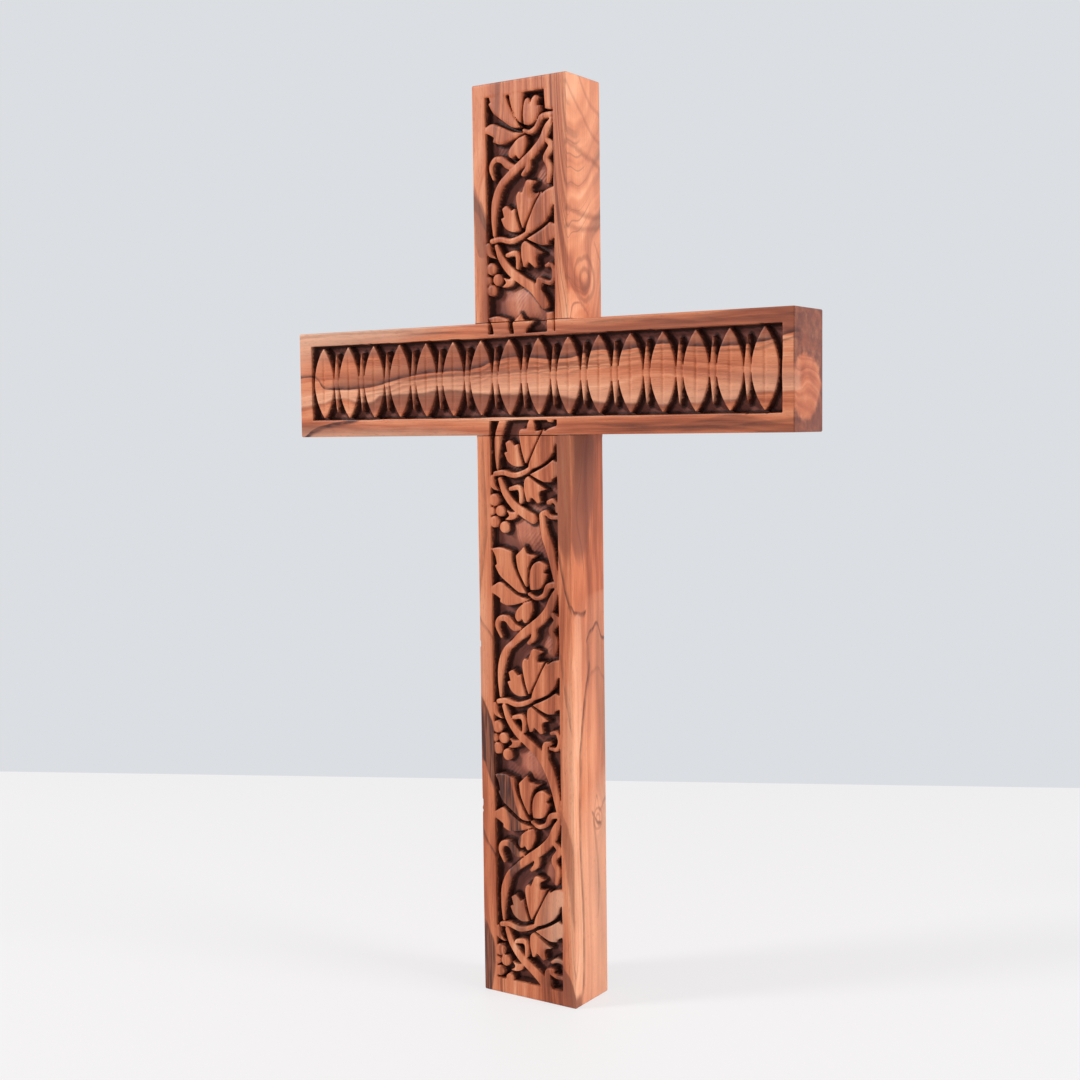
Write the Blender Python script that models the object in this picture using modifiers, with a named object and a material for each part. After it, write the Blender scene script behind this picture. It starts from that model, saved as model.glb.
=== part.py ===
"""Olive wood cross with a carved grapevine, modelled as the two beams that it is joined from.

The upright and the crossbar are planed from the same board and housed into each other with a
cross-halving joint: the upright loses the front of its thickness, the crossbar the back of its own,
and glue holds the shoulders. The front is carved after that. A grapevine climbs the upright from foot
to top, in a sunk panel inside a plain border, and runs on through the borders of the crossbar, which
has a band of leaves and darts of its own. The wood left standing is the ornament, flush with the front.

Units are metres. +Z is up, the front faces -Y, and the origin is under the middle of the foot.
"""

import math

import bmesh
import bpy
from mathutils import Matrix, Vector

# Beams
UPRIGHT_LENGTH = 0.300
CROSSBAR_LENGTH = 0.191
BEAM_WIDTH = 0.0365
BEAM_THICKNESS = 0.020
CROSSBAR_CENTRE_HEIGHT = 0.205
ARRIS_RADIUS = 0.0008

# Cross-halving joint
HOUSING_DEPTH = 0.010
GLUE_GAP = 0.0003

# Sunk panels: the plain borders left round them, and their depth
CARVING_DEPTH = 0.0035
VINE_SIDE_BORDER = 0.0051
VINE_TOP_BORDER = 0.0043
VINE_FOOT_BORDER = 0.0049
BAND_UPPER_BORDER = 0.0046
BAND_LOWER_BORDER = 0.0057
BAND_LEFT_BORDER = 0.0055
BAND_RIGHT_BORDER = 0.0040
NOTCH_RIDGE_THICKNESS = 0.0008

# Grapevine: one repeat of it, and the panel width that its outlines are drawn for
VINE_PITCH = 0.0754
VINE_DRAWN_WIDTH = 0.0264
GRAPE_RIM_ROUNDING = 0.0007

# Leaves and darts of the crossbar
BAND_LEAF_COUNT = 16
BAND_LEAF_WIDTH = 0.0086
BAND_LEAF_MARGIN = 0.0009
BAND_DART_WIDTH = 0.0024
BAND_DART_MARGIN = 0.0030

# Keyhole slot in the back, for the head of a screw in the wall
KEYHOLE_HEAD_WIDTH = 0.0092
KEYHOLE_NECK_WIDTH = 0.0050
KEYHOLE_TRAVEL = 0.0100
KEYHOLE_LIP_THICKNESS = 0.0030
KEYHOLE_DEPTH = 0.0080
KEYHOLE_BELOW_TOP = 0.0320

# How far a cutter runs past the wood that it cuts
OVERCUT = 0.002

# Shapes of the vine are written in millimetres from the middle of the panel and the start of a repeat
DRAWING_UNIT = 0.001
OUTLINE_STEPS = 2
GRAPE_SIDES = 12

FRONT = -BEAM_THICKNESS / 2
BACK = BEAM_THICKNESS / 2
CROSSBAR_BOTTOM = CROSSBAR_CENTRE_HEIGHT - BEAM_WIDTH / 2
CROSSBAR_TOP = CROSSBAR_CENTRE_HEIGHT + BEAM_WIDTH / 2
BAND_BOTTOM = CROSSBAR_BOTTOM + BAND_LOWER_BORDER
BAND_TOP = CROSSBAR_TOP - BAND_UPPER_BORDER
BAND_LEFT = -CROSSBAR_LENGTH / 2 + BAND_LEFT_BORDER
BAND_RIGHT = CROSSBAR_LENGTH / 2 - BAND_RIGHT_BORDER
VINE_HALF_WIDTH = BEAM_WIDTH / 2 - VINE_SIDE_BORDER

# Lobes of the vine's leaves, tendrils' leaflets and small leaves, as smooth closed outlines.
# A point with a third value is a sharp corner.
CORNER = "corner"
VINE_LEAVES = {
    "high_leaf_outer_lobe": [
        (0.4, 59.9, CORNER), (-2.5, 60.2), (-6.0, 62.5), (-9.8, 65.4), (-11.7, 68.5, CORNER),
        (-10.9, 69.0, CORNER), (-11.6, 71.8), (-12.9, 74.1, CORNER), (-9.4, 74.5), (-5.3, 73.4, CORNER),
        (-5.0, 70.0), (-3.6, 66.7), (-1.4, 62.7),
    ],
    "high_leaf_middle_lobe": [
        (0.6, 61.9, CORNER), (-0.9, 64.2), (-2.6, 67.8), (-3.4, 72.0, CORNER), (-0.2, 75.0, CORNER),
        (0.9, 72.9), (4.6, 72.3, CORNER), (2.5, 70.9), (1.2, 68.2), (0.8, 65.0),
    ],
    "high_leaf_inner_lobe": [
        (2.2, 61.1, CORNER), (1.9, 64.0), (2.2, 67.2), (3.6, 69.6), (6.0, 70.5), (8.8, 69.2, CORNER),
        (7.1, 66.9, CORNER), (8.6, 66.4, CORNER), (7.4, 63.8), (5.6, 61.6),
    ],
    "high_leaf_side_lobe": [
        (-14.0, 60.8, CORNER), (-12.0, 62.2), (-9.6, 63.1), (-6.5, 61.1), (-2.5, 58.8),
        (1.6, 57.9, CORNER), (-2.5, 56.4), (-7.0, 55.6), (-9.9, 56.6, CORNER), (-9.7, 57.7, CORNER),
        (-12.0, 59.0), (-14.0, 59.8, CORNER),
    ],
    "high_leaf_lower_lobe": [
        (2.4, 57.5, CORNER), (-0.5, 56.5), (-3.2, 54.2), (-4.0, 52.0), (-2.9, 50.5),
        (-1.3, 51.5, CORNER), (-0.1, 50.1), (1.6, 51.9), (2.7, 54.8),
    ],
    "low_leaf_outer_lobe": [
        (-0.3, 26.1, CORNER), (-3.0, 25.8), (-5.8, 27.2), (-7.4, 30.2, CORNER), (-6.1, 30.6, CORNER),
        (-6.9, 33.4, CORNER), (-5.2, 34.2), (-3.3, 32.5, CORNER), (-2.1, 33.0, CORNER), (-1.7, 30.5),
    ],
    "low_leaf_middle_lobe": [
        (0.9, 26.8, CORNER), (-0.1, 29.5), (-0.9, 32.8), (-1.4, 36.5), (-0.5, 38.3),
        (0.9, 38.0, CORNER), (1.6, 39.6), (2.9, 41.7), (6.3, 41.0, CORNER), (4.3, 39.6),
        (4.6, 37.6), (7.1, 37.5, CORNER), (5.4, 34.2), (2.8, 29.6),
    ],
    "low_leaf_inner_lobe": [
        (1.5, 24.7, CORNER), (2.2, 27.5), (3.7, 30.6), (6.0, 34.9), (7.9, 37.7, CORNER),
        (8.4, 36.9, CORNER), (10.4, 38.1), (14.0, 39.0, CORNER), (14.0, 33.6, CORNER),
        (12.2, 32.8), (11.4, 30.5, CORNER), (9.0, 27.8), (5.4, 25.8),
    ],
    "low_leaf_side_lobe": [
        (2.6, 23.2, CORNER), (6.0, 24.7), (9.0, 26.2), (11.4, 27.8, CORNER), (14.0, 26.6, CORNER),
        (14.0, 23.4, CORNER), (11.0, 21.9, CORNER), (10.7, 21.0, CORNER), (8.3, 20.8), (5.5, 21.8),
    ],
    "low_leaf_lower_lobe": [
        (1.8, 22.6, CORNER), (0.5, 21.4), (0.3, 18.0), (1.2, 14.4, CORNER), (2.0, 14.5), (3.0, 15.8),
        (5.4, 13.9, CORNER), (6.3, 14.4, CORNER), (5.9, 17.5), (8.5, 18.5, CORNER), (6.0, 19.9),
    ],
    "cluster_leaflet": [
        (-6.8, 11.4, CORNER), (-5.0, 10.8), (-2.3, 11.1, CORNER), (-3.2, 9.2), (-5.2, 8.4),
        (-7.4, 8.4, CORNER), (-5.8, 9.7),
    ],
    "border_leaflet": [
        (-14.0, 22.2, CORNER), (-12.2, 22.8), (-11.4, 19.8), (-9.8, 17.8, CORNER), (-12.2, 18.5),
        (-14.0, 20.4, CORNER),
    ],
}

# Stems, leaf stalks and tendrils, as points on the middle line with the width there
VINE_STEMS = {
    "low_stem": [
        (-8.9, 21.9, 1.5), (-7.0, 17.6, 2.1), (-3.4, 13.3, 2.6), (1.0, 10.1, 2.8), (5.2, 6.8, 3.3),
        (8.3, 2.6, 3.5), (10.3, -2.8, 2.7), (12.3, -10.4, 2.3),
    ],
    "low_stem_stub": [(7.2, 6.0, 2.0), (7.1, 10.2, 1.9), (9.1, 11.2, 1.2)],
    "high_stem": [
        (12.6, 61.9, 1.2), (10.8, 58.4, 2.7), (8.9, 54.5, 2.9), (5.4, 51.0, 2.9), (0.6, 47.6, 2.8),
        (-4.0, 44.2, 2.3), (-7.6, 40.9, 2.3), (-9.6, 36.0, 2.6), (-10.3, 30.6, 1.8), (-10.2, 25.2, 0.7),
    ],
    "high_leaf_stalk": [
        (1.7, 59.7, 0.9), (4.4, 58.4, 1.2), (7.4, 59.7, 1.3), (9.2, 62.6, 1.8), (14.0, 63.4, 1.8),
    ],
    "low_leaf_stalk": [
        (-11.2, 23.4, 1.5), (-8.0, 23.8, 1.6), (-3.8, 22.9, 1.6), (0.4, 24.0, 1.4), (2.8, 25.4, 1.0),
    ],
    "left_tendril": [
        (-2.0, 48.3, 0.8), (-4.6, 48.5, 2.5), (-7.2, 51.0, 2.2), (-10.2, 51.0, 1.7),
        (-11.2, 48.6, 1.5), (-9.7, 45.0, 0.7),
    ],
    "right_tendril": [
        (9.3, 54.2, 1.0), (12.5, 52.2, 2.1), (11.0, 48.8, 1.0), (11.4, 44.2, 1.3), (10.8, 41.0, 0.6),
    ],
    "stem_hook": [(3.2, 48.4, 1.9), (3.1, 45.6, 1.8), (1.2, 43.6, 1.0)],
    "angled_sprig": [(-5.2, 18.5, 1.2), (-2.2, 19.0, 1.6), (-1.1, 17.6, 1.5), (-1.2, 14.3, 1.1)],
    "low_tendril": [
        (9.6, 14.6, 1.0), (11.8, 14.8, 1.2), (12.8, 12.0, 1.2), (11.6, 9.5, 1.2), (9.0, 9.5, 0.8),
    ],
}

# Grapes of one cluster: the middle and the radius
VINE_GRAPES = [
    (-11.8, 14.8, 1.95), (-9.4, 11.2, 1.75), (-12.9, 11.1, 1.3), (-11.8, 7.6, 1.85), (-7.8, 5.9, 1.85),
]


def clear_scene():
    """Removes what the scene holds, so that the file can be run again in an open Blender."""
    for scene_object in list(bpy.data.objects):
        bpy.data.objects.remove(scene_object)
    for old_collection in list(bpy.data.collections):
        bpy.data.collections.remove(old_collection)


def new_collection(name):
    collection = bpy.data.collections.new(name)
    bpy.context.scene.collection.children.link(collection)
    return collection


def wood_material(name, colour, roughness):
    """Oiled olive wood: a warm brown, half glossy."""
    material = bpy.data.materials.new(name)
    material.use_nodes = True
    surface = material.node_tree.nodes["Principled BSDF"]
    surface.inputs["Base Color"].default_value = (*colour, 1.0)
    surface.inputs["Roughness"].default_value = roughness
    surface.inputs["Metallic"].default_value = 0.0
    return material


def as_cutter(cutter):
    cutter.hide_render = True
    cutter.display_type = "WIRE"
    return cutter


def add_mesh_object(name, mesh, collection):
    mesh_object = bpy.data.objects.new(name, mesh)
    collection.objects.link(mesh_object)
    return mesh_object


def add_box(name, low, high, collection):
    """A box between two corners, with its origin in its middle."""
    low, high = Vector(low), Vector(high)
    box_mesh = bmesh.new()
    bmesh.ops.create_cube(box_mesh, size=1.0)
    bmesh.ops.scale(box_mesh, vec=high - low, verts=box_mesh.verts)
    mesh = bpy.data.meshes.new(name)
    box_mesh.to_mesh(mesh)
    box_mesh.free()
    box = add_mesh_object(name, mesh, collection)
    box.location = (low + high) / 2
    return box


def prism_mesh(name, outline, thickness):
    """The mesh of a flat outline given thickness along Y. Sharp corners stay sharp, the rest is a curve."""
    curve = bpy.data.curves.new(name, "CURVE")
    curve.dimensions = "2D"
    curve.fill_mode = "BOTH"
    curve.extrude = thickness / 2
    curve.resolution_u = OUTLINE_STEPS
    spline = curve.splines.new("BEZIER")
    spline.bezier_points.add(len(outline) - 1)
    spline.use_cyclic_u = True
    for bezier_point, (across, up, *corner) in zip(spline.bezier_points, outline):
        bezier_point.co = (across, up, 0.0)
        handle = "VECTOR" if corner else "AUTO"
        bezier_point.handle_left_type = handle
        bezier_point.handle_right_type = handle
    pattern = bpy.data.objects.new(name, curve)
    bpy.context.scene.collection.objects.link(pattern)
    pattern.rotation_euler = (math.radians(90), 0.0, 0.0)
    depsgraph = bpy.context.evaluated_depsgraph_get()
    mesh = bpy.data.meshes.new_from_object(pattern.evaluated_get(depsgraph))
    mesh.transform(pattern.matrix_world)
    bpy.data.objects.remove(pattern)
    weld_and_orient(mesh)
    return mesh


def weld_and_orient(mesh):
    """Joins a curve's loose caps to its walls and turns every face outward."""
    solid = bmesh.new()
    solid.from_mesh(mesh)
    bmesh.ops.remove_doubles(solid, verts=solid.verts, dist=0.00001)
    bmesh.ops.recalc_face_normals(solid, faces=solid.faces)
    solid.to_mesh(mesh)
    solid.free()


def stem_outline(middle_line):
    """The closed outline of a stem: its middle line, set off by half its width to either side."""
    points = [Vector((x, z)) for x, z, _ in middle_line]
    last = len(points) - 1
    one_side, other_side = [], []
    for index, (point, (_, _, width)) in enumerate(zip(points, middle_line)):
        along = (points[min(index + 1, last)] - points[max(index - 1, 0)]).normalized()
        across = Vector((-along.y, along.x)) * width / 2
        corner = [CORNER] if index in (0, last) else []
        one_side.append((*(point + across), *corner))
        other_side.append((*(point - across), *corner))
    return one_side + other_side[::-1]


def to_panel(outline):
    """An outline drawn in millimetres, brought to metres and to the real width of the panel."""
    stretch = 2 * VINE_HALF_WIDTH / VINE_DRAWN_WIDTH
    return [(x * DRAWING_UNIT * stretch, z * DRAWING_UNIT, *corner) for x, z, *corner in outline]


def grape_mesh(radius):
    """A grape standing up from the ground of the panel: a drum whose front rim is rounded."""
    depth = CARVING_DEPTH + OVERCUT
    drum = bmesh.new()
    bmesh.ops.create_cone(
        drum, cap_ends=True, segments=GRAPE_SIDES, radius1=radius, radius2=radius, depth=depth,
        matrix=Matrix.Translation((0.0, FRONT + depth / 2, 0.0)) @ Matrix.Rotation(math.radians(90), 4, "X"),
    )
    front_rim = [
        edge for edge in drum.edges if all(abs(vertex.co.y - FRONT) < depth / 4 for vertex in edge.verts)
    ]
    bmesh.ops.bevel(
        drum, geom=front_rim, offset=min(GRAPE_RIM_ROUNDING, radius / 2), segments=2, profile=0.5,
        affect="EDGES",
    )
    mesh = bpy.data.meshes.new("grape")
    drum.to_mesh(mesh)
    drum.free()
    return mesh


def vine_meshes():
    """One repeat of the vine: a mesh for each leaf lobe, stem and grape, and where it stands."""
    outlines = dict(VINE_LEAVES)
    outlines.update({name: stem_outline(line) for name, line in VINE_STEMS.items()})
    thickness = 2 * (CARVING_DEPTH + OVERCUT)
    shapes = {
        name: (prism_mesh(name, to_panel(outline), thickness), Vector((0.0, FRONT, 0.0)))
        for name, outline in outlines.items()
    }
    stretch = 2 * VINE_HALF_WIDTH / VINE_DRAWN_WIDTH
    for number, (x, z, radius) in enumerate(VINE_GRAPES, start=1):
        middle = Vector((x * stretch, 0.0, z)) * DRAWING_UNIT
        shapes[f"grape_{number}"] = (grape_mesh(radius * DRAWING_UNIT), middle)
    return shapes


def add_vine(cutters):
    """The whole climbing vine, as many repeats as the upright has room for, in a collection of its own."""
    vine = bpy.data.collections.new("vine")
    cutters.children.link(vine)
    shapes = vine_meshes()
    for repeat in range(math.ceil(UPRIGHT_LENGTH / VINE_PITCH) + 1):
        for name, (mesh, place) in shapes.items():
            shape = as_cutter(add_mesh_object(f"{name}_{repeat}", mesh, vine))
            shape.location = place + Vector((0.0, 0.0, repeat * VINE_PITCH))
    return vine


def pointed_oval(width, height):
    """A leaf outline with a point at either end, widest in the middle."""
    return [
        (0.0, -height / 2, CORNER), (width * 0.36, -height * 0.28), (width / 2, 0.0),
        (width * 0.36, height * 0.28), (0.0, height / 2, CORNER), (-width * 0.36, height * 0.28),
        (-width / 2, 0.0), (-width * 0.36, -height * 0.28),
    ]


def lozenge(width, height):
    """A dart: four straight sides, long and slim."""
    return [
        (0.0, -height / 2, CORNER), (width / 2, 0.0, CORNER), (0.0, height / 2, CORNER),
        (-width / 2, 0.0, CORNER),
    ]


def add_leaf_band(cutters):
    """The crossbar's row of upright leaves, with a dart between each two, in a collection of its own."""
    band = bpy.data.collections.new("leaf_band")
    cutters.children.link(band)
    height = BAND_TOP - BAND_BOTTOM
    pitch = (BAND_RIGHT - BAND_LEFT) / BAND_LEAF_COUNT
    thickness = 2 * (CARVING_DEPTH + OVERCUT)
    leaf = prism_mesh("leaf", pointed_oval(BAND_LEAF_WIDTH, height - 2 * BAND_LEAF_MARGIN), thickness)
    dart = prism_mesh("dart", lozenge(BAND_DART_WIDTH, height - 2 * BAND_DART_MARGIN), thickness)
    middle = (BAND_BOTTOM + BAND_TOP) / 2
    for number in range(BAND_LEAF_COUNT):
        leaf_object = as_cutter(add_mesh_object(f"leaf_{number}", leaf, band))
        leaf_object.location = (BAND_LEFT + (number + 0.5) * pitch, FRONT, middle)
        if number:
            dart_object = as_cutter(add_mesh_object(f"dart_{number}", dart, band))
            dart_object.location = (BAND_LEFT + number * pitch, FRONT, middle)
    return band


def cut(target, cutter):
    modifier = target.modifiers.new(f"cut_{cutter.name}", "BOOLEAN")
    modifier.operation = "DIFFERENCE"
    modifier.solver = "EXACT"
    modifier.object = cutter


def cut_all(target, cutters):
    """Cuts every shape of a collection out of a target."""
    modifier = target.modifiers.new(f"cut_{cutters.name}", "BOOLEAN")
    modifier.operation = "DIFFERENCE"
    modifier.solver = "EXACT"
    modifier.operand_type = "COLLECTION"
    modifier.collection = cutters


def add_pocket(name, left, right, bottom, top, ornament, cutters):
    """The ground that the carver takes out of a panel. The ornament is cut out of this pocket, so that its
    wood is left standing."""
    pocket = as_cutter(
        add_box(name, (left, FRONT - OVERCUT / 2, bottom), (right, FRONT + CARVING_DEPTH, top), cutters)
    )
    cut_all(pocket, ornament)
    return pocket


def ease_arrises(beam, along, covered_from, covered_to):
    """Rounds a beam's edges lightly, as with a sanding block. They stay square over the stretch that the
    other beam covers, where the two are planed flush."""
    solid = bmesh.new()
    solid.from_mesh(beam.data)
    for place in (covered_from, covered_to):
        bmesh.ops.bisect_plane(
            solid, geom=[*solid.verts, *solid.edges, *solid.faces],
            plane_co=along * place - beam.location, plane_no=along,
        )
    weight = solid.edges.layers.float.new("bevel_weight_edge")
    for edge in solid.edges:
        middle = (edge.verts[0].co + edge.verts[1].co) / 2 + beam.location
        covered = covered_from < along.dot(middle) < covered_to
        edge[weight] = float(edge.calc_face_angle() > math.radians(45) and not covered)
    solid.to_mesh(beam.data)
    solid.free()
    bevel = beam.modifiers.new("eased_arrises", "BEVEL")
    bevel.width = ARRIS_RADIUS
    bevel.segments = 2
    bevel.limit_method = "WEIGHT"


def add_keyhole(cutters):
    """The routed slot in the back: a round entry, a neck above it and a wider way behind the neck."""
    entry = Vector((0.0, 0.0, UPRIGHT_LENGTH - KEYHOLE_BELOW_TOP))
    floor = BACK - KEYHOLE_DEPTH
    lip = BACK - KEYHOLE_LIP_THICKNESS
    routes = (
        ("keyhole_entry", KEYHOLE_HEAD_WIDTH, 0.0, floor, BACK + OVERCUT),
        ("keyhole_neck", KEYHOLE_NECK_WIDTH, KEYHOLE_TRAVEL, floor, BACK + OVERCUT),
        ("keyhole_way", KEYHOLE_HEAD_WIDTH, KEYHOLE_TRAVEL, floor, lip),
    )
    keyhole = bpy.data.collections.new("keyhole")
    cutters.children.link(keyhole)
    for name, width, travel, front, back in routes:
        mesh = prism_mesh(name, slot_outline(width, travel), back - front)
        route = as_cutter(add_mesh_object(name, mesh, keyhole))
        route.location = entry + Vector((0.0, (front + back) / 2, 0.0))
    return keyhole


def slot_outline(width, travel):
    """The outline that a router bit of a given width leaves when it is moved straight up."""
    radius = width / 2
    steps = 16
    outline = []
    for step in range(steps):
        angle = math.tau * (step + 0.5) / steps
        rise = travel if math.sin(angle) > 0 else 0.0
        outline.append((radius * math.cos(angle), radius * math.sin(angle) + rise, CORNER))
    return outline


def build_upright(parts, cutters, vine):
    upright = add_box(
        "upright", (-BEAM_WIDTH / 2, FRONT, 0.0), (BEAM_WIDTH / 2, BACK, UPRIGHT_LENGTH), parts
    )
    ease_arrises(upright, Vector((0.0, 0.0, 1.0)), CROSSBAR_BOTTOM, CROSSBAR_TOP)
    panel = add_pocket(
        "vine_panel", -VINE_HALF_WIDTH, VINE_HALF_WIDTH, VINE_FOOT_BORDER,
        UPRIGHT_LENGTH - VINE_TOP_BORDER, vine, cutters,
    )
    cut(upright, panel)
    housing = as_cutter(
        add_box(
            "upright_housing",
            (-BEAM_WIDTH / 2 - OVERCUT, FRONT - OVERCUT, CROSSBAR_BOTTOM - GLUE_GAP),
            (BEAM_WIDTH / 2 + OVERCUT, FRONT + HOUSING_DEPTH, CROSSBAR_TOP + GLUE_GAP),
            cutters,
        )
    )
    cut(upright, housing)
    cut_all(upright, add_keyhole(cutters))
    upright.data.materials.append(wood_material("upright_olive_wood", (0.60, 0.33, 0.20), 0.45))
    return upright


def build_crossbar(parts, cutters, vine):
    crossbar = add_box(
        "crossbar", (-CROSSBAR_LENGTH / 2, FRONT, CROSSBAR_BOTTOM),
        (CROSSBAR_LENGTH / 2, BACK, CROSSBAR_TOP), parts,
    )
    ease_arrises(crossbar, Vector((1.0, 0.0, 0.0)), -BEAM_WIDTH / 2, BEAM_WIDTH / 2)
    leaf_band = add_leaf_band(cutters)
    cut(crossbar, add_pocket("band_panel", BAND_LEFT, BAND_RIGHT, BAND_BOTTOM, BAND_TOP, leaf_band, cutters))
    cut(
        crossbar,
        add_pocket(
            "lower_notch", -VINE_HALF_WIDTH, VINE_HALF_WIDTH, CROSSBAR_BOTTOM - OVERCUT,
            BAND_BOTTOM - NOTCH_RIDGE_THICKNESS, vine, cutters,
        ),
    )
    cut(
        crossbar,
        add_pocket(
            "upper_notch", -VINE_HALF_WIDTH, VINE_HALF_WIDTH, BAND_TOP + NOTCH_RIDGE_THICKNESS,
            CROSSBAR_TOP + OVERCUT, vine, cutters,
        ),
    )
    housing = as_cutter(
        add_box(
            "crossbar_housing",
            (-BEAM_WIDTH / 2 - GLUE_GAP, FRONT + HOUSING_DEPTH - GLUE_GAP, CROSSBAR_BOTTOM - OVERCUT),
            (BEAM_WIDTH / 2 + GLUE_GAP, BACK + OVERCUT, CROSSBAR_TOP + OVERCUT),
            cutters,
        )
    )
    cut(crossbar, housing)
    crossbar.data.materials.append(wood_material("crossbar_olive_wood", (0.62, 0.34, 0.21), 0.45))
    return crossbar


clear_scene()
cross_parts = new_collection("olive_wood_cross")
cross_cutters = new_collection("cutters")
climbing_vine = add_vine(cross_cutters)
build_upright(cross_parts, cross_cutters, climbing_vine)
build_crossbar(cross_parts, cross_cutters, climbing_vine)
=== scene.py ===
"""The looks of an olive wood cross: two carved boards in a glued cross-halving joint.

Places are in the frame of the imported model: +Z up, the front facing -Y, the foot on z = 0. Sizes of the
carving are written in millimetres, as a carver would measure them, and brought to metres in the meshes.
"""

import math

import bmesh
import bpy
import numpy as np
from mathutils import Matrix, Vector


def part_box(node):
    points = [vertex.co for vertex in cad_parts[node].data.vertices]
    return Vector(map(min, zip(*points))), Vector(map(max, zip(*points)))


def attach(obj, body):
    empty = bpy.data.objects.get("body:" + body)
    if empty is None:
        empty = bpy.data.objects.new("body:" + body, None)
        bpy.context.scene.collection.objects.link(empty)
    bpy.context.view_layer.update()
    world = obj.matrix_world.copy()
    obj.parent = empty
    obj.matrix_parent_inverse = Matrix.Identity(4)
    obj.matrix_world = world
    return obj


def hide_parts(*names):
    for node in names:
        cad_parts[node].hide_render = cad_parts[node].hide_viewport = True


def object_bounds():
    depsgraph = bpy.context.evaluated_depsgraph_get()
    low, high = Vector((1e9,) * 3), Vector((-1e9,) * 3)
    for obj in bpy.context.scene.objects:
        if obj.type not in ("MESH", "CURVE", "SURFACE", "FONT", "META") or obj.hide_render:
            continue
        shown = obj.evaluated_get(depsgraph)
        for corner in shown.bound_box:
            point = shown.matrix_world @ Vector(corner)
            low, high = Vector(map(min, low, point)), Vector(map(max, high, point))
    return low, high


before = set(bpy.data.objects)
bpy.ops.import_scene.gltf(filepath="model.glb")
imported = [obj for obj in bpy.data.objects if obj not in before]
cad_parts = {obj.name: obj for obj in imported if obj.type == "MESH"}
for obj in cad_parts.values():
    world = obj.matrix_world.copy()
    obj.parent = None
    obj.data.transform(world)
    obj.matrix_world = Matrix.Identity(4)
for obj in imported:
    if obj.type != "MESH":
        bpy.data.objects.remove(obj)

cad_low, cad_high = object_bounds()

# Upright
# One planed board of olive wood, grain upwards, with the edges lightly sanded. Its front is sunk
# inside a plain border, and a grapevine is left standing there, flush with the border.

METRE = 1000.0
FRONT = cad_low.y * METRE
BACK = cad_high.y * METRE
UPRIGHT_LOW, UPRIGHT_HIGH = (np.array(corner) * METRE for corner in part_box("upright"))
CROSSBAR_LOW, CROSSBAR_HIGH = (np.array(corner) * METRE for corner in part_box("crossbar"))
BEAM_HALF_WIDTH = UPRIGHT_HIGH[0]

ARRIS = 0.5
TIGHT_ARRIS = 0.08
HOUSING = 10.0
GLUE_GAP = 0.3
GROUND = 3.5
GRID = 0.31
WALL = 0.34
# How far the painted shade at the foot of a carved wall reaches over the ground, in mm.
WALL_SHADE_REACH = 1.1
PANEL_HALF_WIDTH = 13.2
PANEL_FOOT = 4.9
PANEL_TOP = 295.7
VINE_PITCH = 75.4
VINE_REPEATS = 4

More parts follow.
